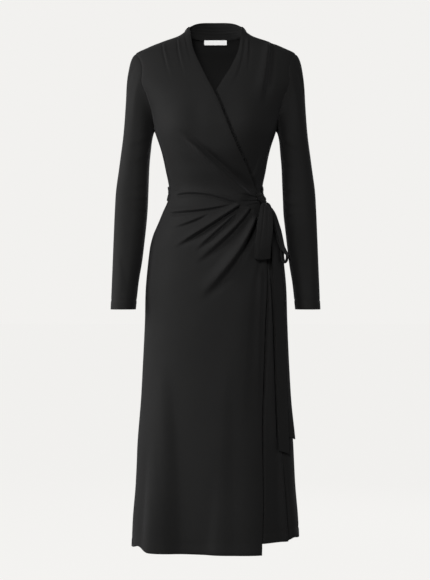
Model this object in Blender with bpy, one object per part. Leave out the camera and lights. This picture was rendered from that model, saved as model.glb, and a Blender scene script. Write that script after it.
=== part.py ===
"""Black long-sleeved wrap dress, hollow, in the form it has when worn.

One ring of cloth for each height gives the body form, cut for a general figure.
Each sewn piece is a grid of points on that form, moved out by its lap and its
folds, and given a wall. Metres, +Z up. The front faces -Y, the wearer's left is
+X, and the origin lies between the shoulders that carry the dress.
"""
from collections import namedtuple

import bmesh
import bpy
import numpy as np

# ---- driving dimensions -------------------------------------------------------
WALL = 0.0016                 # jersey with its hems and facings
SEAM_GAP = 0.0003             # between two pieces that are sewn together
ARMHOLE_GAP = 0.0005          # across, where the slanting armhole meets the sleeve
LAP = 0.0042                  # the wrapped front lies this far out over the other
LAP_START = 78.0              # degrees from the centre, on its own side
LAP_REACH = 50.0              # and the degrees it takes to lift
TUCK = 0.0034                 # the hidden edge of the under front lies this far in
TUCK_START = -12.0
TUCK_REACH = 30.0
NORMAL_STEP = 0.004           # over which a direction of the form is read

NECK_SIDE = 0.0629            # half the width of the neck at its top
NECK_SIDE_TOP = 0.0409        # height of the neck's top at the shoulder seams
COLLAR_FOOT = 0.0732          # half the width where the collar meets the shoulder
COLLAR_FOOT_HEIGHT = 0.0282
COLLAR_BACK_FOOT = 0.018      # height of the back neck seam at the centre
COLLAR_BACK_TOP = 0.0575
COLLAR_BACK_DEPTH = 0.053     # how far the collar's top reaches back
COLLAR_ROUNDNESS = 2.3        # of its top, seen from above
COLLAR_FLATNESS = 4.0         # of its top, seen from behind
COLLAR_ROWS = 3
SHOULDER_TIP = -0.0247
UNDERARM = -0.207
ARMHOLE_REACH = 0.047         # how far the armhole reaches forward and back

BELT_TOP = -0.335
BELT_BOTTOM = -0.369
HEM_OVER = -1.180             # hem of the wrapped front
HEM_UNDER = -1.156            # hem of the under front and of its side seam
HEM_DIP = 0.003               # the free corners hang this much lower

# ---- the body form: one ring of cloth for each height ---------------------------
Ring = namedtuple("Ring", "height half_width front back squareness")
BODY = (
    Ring(-1.240, 0.1990, 0.137, 0.144, 2.05),
    Ring(-1.204, 0.1974, 0.135, 0.142, 2.05),
    Ring(-1.119, 0.1939, 0.130, 0.137, 2.05),
    Ring(-1.029, 0.1868, 0.124, 0.131, 2.05),
    Ring(-0.931, 0.1821, 0.118, 0.126, 2.10),
    Ring(-0.837, 0.1751, 0.112, 0.121, 2.10),
    Ring(-0.747, 0.1704, 0.108, 0.118, 2.10),
    Ring(-0.649, 0.1657, 0.106, 0.118, 2.15),
    Ring(-0.578, 0.1633, 0.105, 0.117, 2.20),
    Ring(-0.522, 0.1586, 0.103, 0.111, 2.20),
    Ring(-0.479, 0.1539, 0.101, 0.103, 2.20),
    Ring(-0.451, 0.1469, 0.099, 0.095, 2.20),
    Ring(-0.423, 0.1351, 0.096, 0.086, 2.20),
    Ring(-0.395, 0.1234, 0.092, 0.077, 2.20),
    Ring(-0.367, 0.1116, 0.089, 0.071, 2.20),
    Ring(-0.348, 0.1088, 0.088, 0.069, 2.20),
    Ring(-0.296, 0.1175, 0.102, 0.079, 2.20),
    Ring(-0.249, 0.1281, 0.115, 0.090, 2.25),
    Ring(-0.207, 0.1419, 0.117, 0.097, 2.30),
    Ring(-0.162, 0.1570, 0.108, 0.099, 2.30),
    Ring(-0.129, 0.1737, 0.098, 0.097, 2.30),
    Ring(-0.087, 0.1960, 0.081, 0.090, 2.30),
    Ring(-0.050, 0.1940, 0.062, 0.081, 2.30),
    Ring(SHOULDER_TIP, 0.1880, 0.046, 0.073, 2.30),
    Ring(-0.0094, 0.1595, 0.037, 0.067, 2.30),
    Ring(0.0047, 0.1250, 0.031, 0.063, 2.30),
    Ring(0.0188, 0.0870, 0.025, 0.059, 2.30),
    Ring(COLLAR_FOOT_HEIGHT, COLLAR_FOOT, 0.022, 0.056, 2.20),
    Ring(NECK_SIDE_TOP, NECK_SIDE, 0.014, 0.051, 2.10),
    Ring(0.0600, 0.0550, 0.008, 0.047, 2.10),
)

# The skirt's slow waves: the angle is measured round the form from the front
# centre towards the wearer's left, and the lift is the one at the hem.
Flute = namedtuple("Flute", "angle width hem_lift")
FLUTES = (
    Flute(-58, 16, 0.006),
    Flute(-16, 24, -0.016),
    Flute(26, 15, 0.009),
    Flute(64, 12, 0.005),
    Flute(118, 18, 0.009),
    Flute(152, 16, -0.012),
    Flute(186, 17, 0.010),
    Flute(216, 15, -0.011),
    Flute(246, 16, 0.008),
)
FLUTE_START = -0.70
FLUTE_GROWTH = 1.6            # how late they deepen on their way to the hem

# ---- free edges of the two fronts -----------------------------------------------
# across is the distance from the centre, towards the side that the front wraps to.
Edge = namedtuple("Edge", "height across")
OVER_EDGE = (
    Edge(-1.240, 0.0995), Edge(-1.030, 0.1070), Edge(-0.900, 0.1065), Edge(-0.800, 0.1105),
    Edge(-0.650, 0.1160), Edge(-0.548, 0.1200), Edge(-0.450, 0.1130), Edge(-0.400, 0.1070),
    Edge(-0.370, 0.1015), Edge(-0.342, 0.0930), Edge(-0.297, 0.0745), Edge(-0.259, 0.0555),
    Edge(-0.216, 0.0360), Edge(-0.175, 0.0201), Edge(-0.120, -0.0026), Edge(-0.097, -0.0154),
    Edge(-0.059, -0.0350), Edge(-0.013, -0.0530), Edge(0.030, -0.0600),
    Edge(NECK_SIDE_TOP, -NECK_SIDE), Edge(0.060, -0.0640),
)
UNDER_EDGE = (
    Edge(-1.240, 0.1000), Edge(-0.800, 0.1020), Edge(-0.548, 0.1040), Edge(-0.450, 0.0960),
    Edge(-0.370, 0.0880), Edge(-0.297, 0.0700), Edge(-0.216, 0.0360), Edge(-0.175, 0.0180),
    Edge(-0.120, -0.0015), Edge(-0.097, -0.0140), Edge(-0.059, -0.0365), Edge(-0.013, -0.0545),
    Edge(0.030, -0.0610), Edge(NECK_SIDE_TOP, -NECK_SIDE), Edge(0.060, -0.0640),
)

# Rows of each panel: the heights at its side seam and at its free edge, the rows to
# the next line of the table, and how early a row drops on its way from the free edge.
Station = namedtuple("Station", "seam edge rows droop")
ARMHOLE_ROWS = 7
OVER_ROWS = (
    Station(SHOULDER_TIP, NECK_SIDE_TOP, ARMHOLE_ROWS, 1.0),
    Station(UNDERARM, -0.150, 9, 1.0),
    Station(-0.345, -0.352, 16, 0.85),
    Station(-0.690, -0.402, 6, 0.70),
    Station(-0.820, -0.560, 5, 0.80),
    Station(-0.960, -0.800, 6, 0.90),
    Station(HEM_OVER, HEM_OVER - HEM_DIP, 0, 1.0),
)
UNDER_ROWS = (
    Station(SHOULDER_TIP, NECK_SIDE_TOP, ARMHOLE_ROWS, 1.0),
    Station(UNDERARM, -0.150, 5, 1.0),
    Station(BELT_TOP, BELT_TOP, 1, 1.0),
    Station(BELT_BOTTOM, BELT_BOTTOM, 8, 1.0),
    Station(-0.600, -0.600, 8, 1.0),
    Station(HEM_UNDER, HEM_UNDER - HEM_DIP, 0, 1.0),
)
BACK_ROWS = (
    Station(UNDERARM, UNDERARM, 5, 1.0),
    Station(BELT_TOP, BELT_TOP, 1, 1.0),
    Station(BELT_BOTTOM, BELT_BOTTOM, 8, 1.0),
    Station(-0.600, -0.600, 8, 1.0),
    Station(HEM_OVER, HEM_UNDER, 0, 1.0),
)
BELT_ROW = ARMHOLE_ROWS + 5   # the back and the under front have a row at the belt's top
OVER_COLUMNS = 28
UNDER_COLUMNS = 16
SEAM_REACH = 0.35             # the lifts of a front grow over the first columns
EDGE_CROWDING = 1.2           # columns stand closer near the free edge
EDGE_SOFT = 0.04              # keeps a drooping row from falling sheer off the edge
BACK_SHOULDER_COLUMNS = 7
BACK_NECK_COLUMNS = 8

# ---- folds: a crest from its start through its bend to its end ---------------------
# Places are seen from the front, in metres. peak says how far along it is highest.
Fold = namedtuple("Fold", "x0 z0 x1 z1 x2 z2 width lift peak")
CREST_STEPS = 24
FOLD_TAPER = 0.6              # a fold starts at this share of its width, and widens
OVER_FOLDS = (
    # shoulder pleats
    Fold(-0.137, -0.004, -0.127, -0.060, -0.112, -0.110, 0.006, 0.0036, 0.0),
    Fold(-0.103, 0.010, -0.088, -0.050, -0.074, -0.090, 0.006, 0.0036, 0.0),
    Fold(-0.078, 0.022, -0.063, -0.030, -0.048, -0.072, 0.005, 0.0026, 0.0),
    # the drag line from the bust to the knot
    Fold(-0.084, -0.215, -0.030, -0.275, 0.045, -0.328, 0.012, 0.0045, 0.5),
    # the waist folds that fan out of the knot
    Fold(0.084, -0.366, -0.002, -0.346, -0.092, -0.350, 0.0070, 0.0050, 0.3),
    Fold(0.092, -0.377, 0.000, -0.377, -0.108, -0.386, 0.0080, 0.0062, 0.3),
    Fold(0.092, -0.384, 0.000, -0.398, -0.080, -0.428, 0.0075, 0.0058, 0.3),
    Fold(0.090, -0.392, 0.010, -0.422, -0.052, -0.476, 0.0080, 0.0066, 0.3),
    Fold(0.090, -0.400, 0.050, -0.454, -0.024, -0.572, 0.0105, 0.0098, 0.35),
    Fold(0.100, -0.420, 0.092, -0.490, 0.075, -0.620, 0.0095, 0.0046, 0.4),
    # the wrap edge rolls a little
    Fold(0.104, -0.560, 0.100, -0.800, 0.094, -1.182, 0.0100, 0.0025, 0.5),
)
UNDER_FOLDS = (
    Fold(0.121, -0.004, 0.117, -0.070, 0.106, -0.150, 0.006, 0.0036, 0.0),
    Fold(0.086, 0.008, 0.080, -0.040, 0.073, -0.085, 0.006, 0.0026, 0.0),
    Fold(0.070, 0.024, 0.055, -0.060, 0.026, -0.134, 0.006, 0.0030, 0.0),
    Fold(0.124, -0.240, 0.110, -0.300, 0.100, -0.345, 0.010, 0.0025, 0.6),
    Fold(0.140, -0.900, 0.142, -1.000, 0.144, -1.158, 0.009, 0.0060, 1.0),
)

# ---- sleeves ---------------------------------------------------------------------
Arm = namedtuple("Arm", "height outer inner front back")
ARM = (
    Arm(-0.2400, 0.2192, 0.1508, 0.050, 0.052),
    Arm(-0.2960, 0.2268, 0.1555, 0.048, 0.052),
    Arm(-0.3525, 0.2342, 0.1575, 0.046, 0.051),
    Arm(-0.3948, 0.2366, 0.1595, 0.045, 0.050),
    Arm(-0.4512, 0.2390, 0.1655, 0.047, 0.046),
    Arm(-0.5076, 0.2412, 0.1720, 0.050, 0.039),
    Arm(-0.5640, 0.2434, 0.1810, 0.053, 0.030),
    Arm(-0.6235, 0.2458, 0.1872, 0.056, 0.021),
)
CAP_ROWS = 7
ARM_ROWS = 13
CAP_LEAVE = 0.115             # handle of the cap's curve at the armhole, as a share
CAP_ARRIVE = 0.42             # and where it runs into the arm
CAP_FLARE = 0.25              # how far the cap spreads as it leaves the armhole
CAP_TANGENT = 0.02            # over this much of the arm its direction is read
Crease = namedtuple("Crease", "height turn rise width span lift")
ARM_CREASES = (
    Crease(-0.262, 150, 0.030, 0.012, 70, 0.0030),
    Crease(-0.345, 160, 0.024, 0.012, 75, -0.0028),
    Crease(-0.395, 150, -0.020, 0.011, 80, 0.0030),
    Crease(-0.440, 165, -0.024, 0.012, 70, -0.0024),
)

# ---- ties --------------------------------------------------------------------------
TIE_WIDTH = 0.038
TIE_THICK = 0.0018
BELT_LIFT = SEAM_GAP          # clear of the cloth beneath
BELT_FRONT_END = 2.00         # where it meets the knot, in the under front's columns
BELT_END_TAPER = (0.20, 0.06)            # how far each long edge closes in, at the knot
BELT_END_RISE = (0.0052, 0.0015)         # and how far the belt rises to it
BELT_BACK_END = 0.08          # short of the wearer's right side seam, in columns
KNOT_ANGLE = 62.0
KNOT_HEIGHT = -0.3715
KNOT_LIFT = 0.0160            # of the knot's middle, out of the form
KNOT_SIZE = (0.0200, 0.0102, 0.0110)     # half its length, depth and height
KNOT_TILT = 40.0              # its length slopes down to the back
KNOT_SQUARENESS = 0.8
Hang = namedtuple("Hang", "angle height lift width")
END_FRONT = (
    Hang(66.0, -0.3872, 0.0105, 0.018), Hang(64.5, -0.420, 0.0065, 0.026),
    Hang(62.5, -0.470, 0.0048, 0.034), Hang(61.8, -0.550, 0.0046, TIE_WIDTH),
    Hang(61.8, -0.650, 0.0046, TIE_WIDTH), Hang(60.6, -0.800, 0.0048, TIE_WIDTH),
    Hang(60.0, -0.953, 0.0056, TIE_WIDTH),
)
END_SIDE = (
    Hang(75.5, -0.3860, 0.0090, 0.014), Hang(76.0, -0.420, 0.0048, 0.026),
    Hang(77.0, -0.480, 0.0032, 0.034), Hang(77.5, -0.560, 0.0032, TIE_WIDTH),
    Hang(78.5, -0.700, 0.0032, TIE_WIDTH), Hang(81.0, -0.830, 0.0038, TIE_WIDTH),
    Hang(83.0, -0.922, 0.0060, TIE_WIDTH),
)
END_STEPS = 18
# The loops run out from the knot, round their lowest point and back. The front one
# hangs straight down, its inner edge clear of the form by so much.
Bend = namedtuple("Bend", "across height clear width")
LOOP_FRONT = (
    Bend(0.1100, -0.3800, 0.012, 0.020), Bend(0.1115, -0.4020, 0.020, 0.030),
    Bend(0.1120, -0.4350, 0.023, 0.038), Bend(0.1120, -0.4700, 0.023, 0.040),
    Bend(0.1120, -0.4950, 0.020, 0.040), Bend(0.1120, -0.5085, 0.014, 0.040),
    Bend(0.1120, -0.5000, 0.008, 0.040), Bend(0.1115, -0.4700, 0.008, 0.038),
    Bend(0.1110, -0.4350, 0.009, 0.034), Bend(0.1095, -0.4080, 0.010, 0.026),
    Bend(0.1090, -0.3815, 0.006, 0.016),
)
LOOP_SIDE = (
    Hang(71.0, -0.3870, 0.0165, 0.014), Hang(71.0, -0.4000, 0.0150, 0.022),
    Hang(70.0, -0.4200, 0.0128, 0.028), Hang(69.0, -0.4590, 0.0112, 0.032),
    Hang(68.5, -0.4800, 0.0128, 0.032), Hang(68.0, -0.4960, 0.0172, 0.032),
    Hang(68.0, -0.5120, 0.0140, 0.032), Hang(68.0, -0.5060, 0.0082, 0.032),
    Hang(68.0, -0.4850, 0.0074, 0.030), Hang(68.5, -0.4500, 0.0072, 0.026),
    Hang(69.5, -0.4180, 0.0085, 0.020), Hang(70.0, -0.3880, 0.0115, 0.014),
)
LOOP_FRONT_WAY = (1.0, 0.35, 0.0)        # the way the width of each loop runs
LOOP_SIDE_WAY = (0.25, 1.0, 0.0)
LOOP_STEPS = 30

LABEL_THICK = 0.0010
LABEL_COLUMNS = (-1.5, -1.0, 0.0, 1.0, 1.5)     # counted in the back's own columns
LABEL_ROWS = (0.12, 1.0, 1.25)                  # and rows, from the neck seam


# ---- reading the tables --------------------------------------------------------------
def column(table, name):
    return np.array([getattr(row, name) for row in table])


def smooth(at, knots, values):
    """Read a smooth curve through the knots, which never swings past them."""
    step = np.diff(knots)
    slope = np.diff(values) / step
    before, after = slope[:-1], slope[1:]
    same_way = before * after > 0
    total = np.where(same_way, before + after, 1.0)
    inner = np.where(same_way, 2 * before * after / total, 0.0)
    tangent = np.concatenate(([slope[0]], inner, [slope[-1]]))
    cell = np.clip(np.searchsorted(knots, at) - 1, 0, len(step) - 1)
    t = np.clip((at - knots[cell]) / step[cell], 0, 1)
    rise = values[cell + 1] - values[cell]
    ease = t * t * (3 - 2 * t)
    leave = t * (1 - t) ** 2 * tangent[cell]
    arrive = -t * t * (1 - t) * tangent[cell + 1]
    return values[cell] + rise * ease + step[cell] * (leave + arrive)


def ease(t):
    t = np.clip(t, 0, 1)
    return t * t * (3 - 2 * t)


def ring(height):
    """Half width, front depth, back depth and squareness of the form at a height."""
    heights = column(BODY, "height")
    return [smooth(height, heights, column(BODY, name)) for name in Ring._fields[1:]]


def form(angle, height):
    """A point of the body form; the angle is 0 at the front and 90 degrees at +X."""
    angle = angle + 0.0 * height
    height = height + 0.0 * angle
    half, front, back, power = ring(height)
    sine, cosine = np.sin(angle), np.cos(angle)
    reach = (np.abs(sine) ** power + np.abs(cosine) ** power) ** (1 / power)
    x = half * sine / reach
    y = -np.where(cosine > 0, front, back) * cosine / reach
    swing = np.zeros_like(x)
    for flute in FLUTES:
        away = np.degrees(angle) - flute.angle
        away = (away + 180) % 360 - 180
        swing += flute.hem_lift * np.exp(-(away / flute.width) ** 2)
    drop = np.clip((FLUTE_START - height) / (FLUTE_START - HEM_OVER), 0, None)
    swing *= drop ** FLUTE_GROWTH
    radius = np.hypot(x, y)
    return np.stack([x * (1 + swing / radius), y * (1 + swing / radius), height], -1)


def outward(angle, height):
    """The form's outward direction."""
    around = form(angle + NORMAL_STEP, height) - form(angle - NORMAL_STEP, height)
    upward = form(angle, height + NORMAL_STEP) - form(angle, height - NORMAL_STEP)
    normal = np.cross(around, upward)
    return normal / np.linalg.norm(normal, axis=-1, keepdims=True)


def lay(angle, height, lift):
    return form(angle, height) + outward(angle, height) * np.asarray(lift)[..., None]


def angle_at(across, height):
    """The front angle of a point that lies this far across the form."""
    half, _, _, power = ring(height)
    share = np.clip(np.abs(across) / half, 0, 1)
    rest = (1 - share ** power) ** (1 / power)
    return np.sign(across) * np.arctan2(share, rest)


def armhole(facing):
    """Angles from the front centre, and heights, down one edge of the armhole."""
    t = np.linspace(0, np.pi, ARMHOLE_ROWS + 1)
    height = (SHOULDER_TIP + UNDERARM) / 2 + (SHOULDER_TIP - UNDERARM) / 2 * np.cos(t)
    _, front, back, power = ring(height)
    share = ARMHOLE_REACH * np.sin(t) / (front if facing == "front" else back)
    share = np.clip(share, 0, 1)
    angle = np.arctan2((1 - share ** power) ** (1 / power), share)
    return (angle if facing == "front" else np.pi - angle), height


def crest(points, folds):
    """How far the folds lift each point, seen from the front."""
    lift = np.zeros(points.shape[:-1])
    for fold in folds:
        t = np.linspace(0, 1, CREST_STEPS + 1)[:, None]
        start, bend, end = np.array(fold[:6]).reshape(3, 2)
        line = (1 - t) ** 2 * start + 2 * t * (1 - t) * bend + t * t * end
        away = points[..., None, [0, 2]] - line
        distance = np.linalg.norm(away, axis=-1)
        nearest = distance.argmin(-1)
        share = t[nearest, 0]
        width = fold.width * (FOLD_TAPER + share)
        rise = ease(share / fold.peak) if fold.peak > 0 else 1.0
        fade = ease((1 - share) / (1 - fold.peak)) if fold.peak < 1 else 1.0
        lift += fold.lift * rise * fade * np.exp(-(distance.min(-1) / width) ** 2)
    return lift


# ---- making a piece ------------------------------------------------------------------
def material(name, colour, roughness):
    made = bpy.data.materials.new(name)
    made.use_nodes = True
    shader = made.node_tree.nodes["Principled BSDF"]
    shader.inputs["Base Color"].default_value = (*colour, 1.0)
    shader.inputs["Roughness"].default_value = roughness
    shader.inputs["Metallic"].default_value = 0.0
    return made


def add(name, bm, finish, parent):
    bmesh.ops.recalc_face_normals(bm, faces=bm.faces)
    mesh = bpy.data.meshes.new(name)
    bm.to_mesh(mesh)
    bm.free()
    mesh.materials.append(finish)
    mesh.shade_smooth()
    piece = bpy.data.objects.new(name, mesh)
    piece.parent = parent
    bpy.context.collection.objects.link(piece)
    return piece


def cloth(name, outer, inner, finish, parent, tube=False):
    """A wall between two grids of points; a tube's first and last columns meet."""
    rows, columns = outer.shape[:2]
    bm = bmesh.new()
    bmesh.ops.create_grid(bm, x_segments=columns - 1, y_segments=rows - 1, size=0.5)
    place = bm.verts.layers.int.new("place")
    for number, (vert, point) in enumerate(zip(bm.verts, outer.reshape(-1, 3))):
        vert[place] = number
        vert.co = point
    if tube:
        bmesh.ops.remove_doubles(bm, verts=bm.verts, dist=1e-6)
    bmesh.ops.triangulate(bm, faces=bm.faces, quad_method="SHORT_EDGE")
    made = bmesh.ops.extrude_face_region(bm, geom=bm.faces[:])
    inner = inner.reshape(-1, 3)
    for item in made["geom"]:
        if isinstance(item, bmesh.types.BMVert):
            item.co = inner[item[place]]
    return add(name, bm, finish, parent)


def rows_of(stations):
    """The seam height, edge height and droop of each row between the stations."""
    seam, edge, droop = [], [], []
    for here, below in zip(stations, stations[1:]):
        for step in range(here.rows):
            t = step / here.rows
            seam.append(here.seam + (below.seam - here.seam) * t)
            edge.append(here.edge + (below.edge - here.edge) * t)
            droop.append(here.droop + (below.droop - here.droop) * t)
    last = stations[-1]
    return np.array(seam + [last.seam]), np.array(edge + [last.edge]), np.array(droop + [last.droop])


def front_grid(stations, columns, edge_table):
    """Angles from the centre to the panel's own side, and heights, of a front."""
    seam, edge, droop = rows_of(stations)
    side = np.full_like(seam, np.pi / 2)
    side[:ARMHOLE_ROWS + 1], seam[:ARMHOLE_ROWS + 1] = armhole("front")
    across = smooth(edge, column(edge_table, "height"), column(edge_table, "across"))
    far = -angle_at(across, edge)
    share = 1 - (1 - np.linspace(0, 1, columns + 1)[None, :]) ** EDGE_CROWDING
    angle = side[:, None] + (far - side)[:, None] * share
    droop = droop[:, None]
    fall = (1 - share + EDGE_SOFT) ** droop - EDGE_SOFT ** droop
    fall /= (1 + EDGE_SOFT) ** droop - EDGE_SOFT ** droop
    height = edge[:, None] + (seam - edge)[:, None] * fall
    return angle, height


def front_walls(own_side, stations, columns, edge_table, folds, lap):
    """Outer and inner grids of a front; lap gives the lift at an angle from its side."""
    own_angle, height = front_grid(stations, columns, edge_table)
    angle = own_angle * own_side
    from_seam = ease(np.linspace(0, SEAM_REACH * columns, columns + 1))
    lift = (lap(own_angle) + crest(form(angle, height), folds)) * from_seam
    outer = lay(angle, height, lift)
    inner = lay(angle, height, lift - WALL)
    for wall in (outer, inner):
        wall[..., 1] = np.minimum(wall[..., 1], -SEAM_GAP / 2)
    return outer, inner


def over_lap(own_angle):
    return LAP * ease((LAP_START - np.degrees(own_angle)) / LAP_REACH)


def under_lap(own_angle):
    return -TUCK * ease((TUCK_START - np.degrees(own_angle)) / TUCK_REACH)


def back_grid():
    """World angles and heights of the back, from the wearer's left to the right."""
    shoulder = np.linspace(SHOULDER_TIP, COLLAR_FOOT_HEIGHT, BACK_SHOULDER_COLUMNS + 1)
    shoulder_across = ring(shoulder)[0]
    neck = np.linspace(1, -1, BACK_NECK_COLUMNS + 1)[1:-1]
    neck_height = COLLAR_BACK_FOOT + (COLLAR_FOOT_HEIGHT - COLLAR_BACK_FOOT) * neck ** 2
    top = np.concatenate([shoulder, neck_height, shoulder[::-1]])
    across = np.concatenate([shoulder_across, COLLAR_FOOT * neck, -shoulder_across[::-1]])
    side_angle, side_height = armhole("back")
    fall = (side_height - SHOULDER_TIP) / (UNDERARM - SHOULDER_TIP)
    arm_across = form(side_angle, side_height)[:, 0]
    height = top + (UNDERARM - top) * fall[:, None]
    reach = across * (arm_across / across[0])[:, None]
    angle = np.pi - angle_at(reach, height)
    right, left, _ = rows_of(BACK_ROWS)
    blend = np.linspace(0, 1, height.shape[1])
    below = left[1:, None] + (right - left)[1:, None] * blend
    angle = np.vstack([angle, np.repeat(angle[-1:], len(below), axis=0)])
    return angle, np.vstack([height, below])


def back_walls():
    """The back's outer and inner grids of points."""
    angle, height = back_grid()
    outer = lay(angle, height, np.zeros_like(angle))
    inner = lay(angle, height, np.full_like(angle, -WALL))
    for wall in (outer, inner):
        wall[..., 1] = np.maximum(wall[..., 1], SEAM_GAP / 2)
    return outer, inner


def grid_normals(points):
    """Directions across a tube's grid of points, whose last column is its first."""
    along = np.gradient(points, axis=0)
    ring_points = points[:, :-1]
    around = np.roll(ring_points, -1, axis=1) - np.roll(ring_points, 1, axis=1)
    around = np.concatenate([around, around[:, :1]], axis=1)
    normal = np.cross(around, along)
    return normal / np.linalg.norm(normal, axis=-1, keepdims=True)


def arm_ring(height, turn):
    heights = column(ARM, "height")[::-1]
    outer, inner, front_reach, back_reach = (
        smooth(height, heights, column(ARM, name)[::-1]) for name in Arm._fields[1:])
    depth = np.where(np.sin(turn) > 0, front_reach, back_reach)
    x = (outer + inner) / 2 + (outer - inner) / 2 * np.cos(turn)
    return np.stack([x, -depth * np.sin(turn), height + 0 * turn], -1)


def build_sleeve(name, own_side, finish, parent):
    """From the armhole over the cap into the arm, and down to the open cuff."""
    front_angle, height = armhole("front")
    back_angle, _ = armhole("back")
    start = np.vstack([form(front_angle, height), form(back_angle, height)[-2::-1]])
    start[:, 0] += ARMHOLE_GAP
    turn = np.linspace(0, 2 * np.pi, len(start))
    first = ARM[0].height
    end = arm_ring(np.full_like(turn, first), turn)
    centre = start[:-1].mean(axis=0)
    leave = start - centre
    leave[:, 0] = 0
    leave *= CAP_FLARE / np.linalg.norm(leave, axis=1, keepdims=True)
    leave[:, 0] = 1
    span = np.linalg.norm(end - start, axis=1, keepdims=True)
    near = start + CAP_LEAVE * span * leave
    arrive = end - arm_ring(np.full_like(turn, first - CAP_TANGENT), turn)
    far = end + CAP_ARRIVE * span * arrive / CAP_TANGENT
    rings = []
    for t in np.linspace(0, 1, CAP_ROWS + 1):
        rings.append((1 - t) ** 3 * start + 3 * t * (1 - t) ** 2 * near
                     + 3 * t * t * (1 - t) * far + t ** 3 * end)
    for level in np.linspace(first, ARM[-1].height, ARM_ROWS + 1)[1:]:
        rings.append(arm_ring(np.full_like(turn, level), turn))
    outer = np.array(rings)
    outer[..., 0] *= own_side
    normal = grid_normals(outer) * own_side
    lift = np.zeros(outer.shape[:2])
    for crease in ARM_CREASES:
        away = (np.degrees(turn) - crease.turn + 180) % 360 - 180
        line = crease.height + crease.rise * away / crease.span
        depth = np.exp(-((outer[..., 2] - line) / crease.width) ** 2)
        lift += crease.lift * depth * np.exp(-(away / crease.span) ** 2)
    outer += normal * lift[..., None]
    inner = outer - normal * WALL
    return cloth(name, outer, inner, finish, parent, tube=True)


def build_neck_band(finish, parent):
    """The raised stand, from shoulder seam to shoulder seam round the back."""
    share = np.linspace(1, -1, BACK_NECK_COLUMNS + 1)
    foot_height = COLLAR_BACK_FOOT + (COLLAR_FOOT_HEIGHT - COLLAR_BACK_FOOT) * share ** 2
    foot = form(np.pi - angle_at(COLLAR_FOOT * share, foot_height), foot_height)
    depth = (1 - np.abs(share) ** COLLAR_ROUNDNESS) ** (1 / COLLAR_ROUNDNESS)
    drop = np.abs(share) ** COLLAR_FLATNESS
    rim = np.stack([
        NECK_SIDE * share,
        COLLAR_BACK_DEPTH * depth,
        COLLAR_BACK_TOP - (COLLAR_BACK_TOP - NECK_SIDE_TOP) * drop], -1)
    up = (rim - foot) / np.linalg.norm(rim - foot, axis=1, keepdims=True)
    foot = foot + up * SEAM_GAP
    outer = np.array([foot + (rim - foot) * t for t in np.linspace(0, 1, COLLAR_ROWS + 1)])
    around = np.gradient(outer, axis=1)
    normal = np.cross(around, up)
    normal /= np.linalg.norm(normal, axis=-1, keepdims=True)
    inner = outer - normal * WALL
    for wall in (outer, inner):
        wall[..., 1] = np.maximum(wall[..., 1], SEAM_GAP / 2)
    return cloth("neck_band", outer, inner, finish, parent)


def between(grid, row, column_at):
    """A point between a grid's rows and columns."""
    low_row, low_column = int(row), int(column_at)
    down, over = row - low_row, column_at - low_column
    corners = grid[low_row:low_row + 2, low_column:low_column + 2]
    edge = corners[0] * (1 - down) + corners[1] * down
    return edge[0] * (1 - over) + edge[1] * over


def build_label(cloth_inside, finish, parent):
    """A small plate that lies on the inside of the back, below the neck seam."""
    middle = BACK_SHOULDER_COLUMNS + BACK_NECK_COLUMNS // 2
    grid = np.array([[between(cloth_inside, row, middle + over) for over in LABEL_COLUMNS]
                     for row in LABEL_ROWS])
    inward = np.cross(np.gradient(grid, axis=1), np.gradient(grid, axis=0))
    inward /= np.linalg.norm(inward, axis=-1, keepdims=True)
    near = grid + inward * SEAM_GAP
    return cloth("neck_label", near, near + inward * LABEL_THICK, finish, parent)


def along_form(table, steps):
    """A strip's angle, height, lift and width at even steps, from its table."""
    t = np.linspace(0, 1, steps + 1)
    knots = np.linspace(0, 1, len(table))
    return [smooth(t, knots, column(table, name)) for name in table[0]._fields]


def build_belt(back_outside, front_outside, finish, parent):
    """The tie from the wearer's right side seam, round the back, to the knot."""
    last = back_outside.shape[1] - 1
    stops = [(front_outside, BELT_FRONT_END), (front_outside, 1.0), (back_outside, 0.0)]
    stops += [(back_outside, float(number)) for number in range(1, last)]
    stops.append((back_outside, last - BELT_BACK_END))
    flat = [0.0] * (len(stops) - len(BELT_END_TAPER))
    tapers = list(BELT_END_TAPER) + flat
    rise = np.array(list(BELT_END_RISE) + flat)[:, None]
    edges = [[between(panel, BELT_ROW + share, stop) for (panel, stop), share in zip(stops, shares)]
             for shares in (tapers, [1 - taper for taper in tapers])]
    edges = np.array(edges)
    out = np.cross(np.gradient(edges, axis=1), edges[:1] - edges[1:])
    out /= np.linalg.norm(out, axis=-1, keepdims=True)
    inner = edges + out * (BELT_LIFT + rise)
    return cloth("tie_belt", inner + out * TIE_THICK, inner, finish, parent)


def build_end(name, table, finish, parent):
    """A hanging tie end, which follows the skirt."""
    angle, height, lift, width = along_form(table, END_STEPS)
    middle = np.radians(angle)
    radius = np.linalg.norm(form(middle, height)[:, :2], axis=1)
    spread = width / 2 / radius
    across = np.array([1.0, 0.0, -1.0])[:, None]
    angles = middle + spread * across
    heights = height + 0 * angles
    outer = lay(angles, heights, lift + 0 * angles)
    inner = lay(angles, heights, lift - TIE_THICK + 0 * angles)
    return cloth(name, outer, inner, finish, parent)


def front_loop_path():
    t = np.linspace(0, 1, LOOP_STEPS + 1)
    knots = np.linspace(0, 1, len(LOOP_FRONT))
    across, height, clear, width = (
        smooth(t, knots, column(LOOP_FRONT, name)) for name in Bend._fields)
    middle = form(angle_at(across, height), height)
    inner_edge = across - width / 2
    middle[:, 1] = form(angle_at(inner_edge, height), height)[:, 1] - clear
    return middle, width


def side_loop_path():
    angle, height, lift, width = along_form(LOOP_SIDE, LOOP_STEPS)
    return lay(np.radians(angle), height, lift), width


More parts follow.
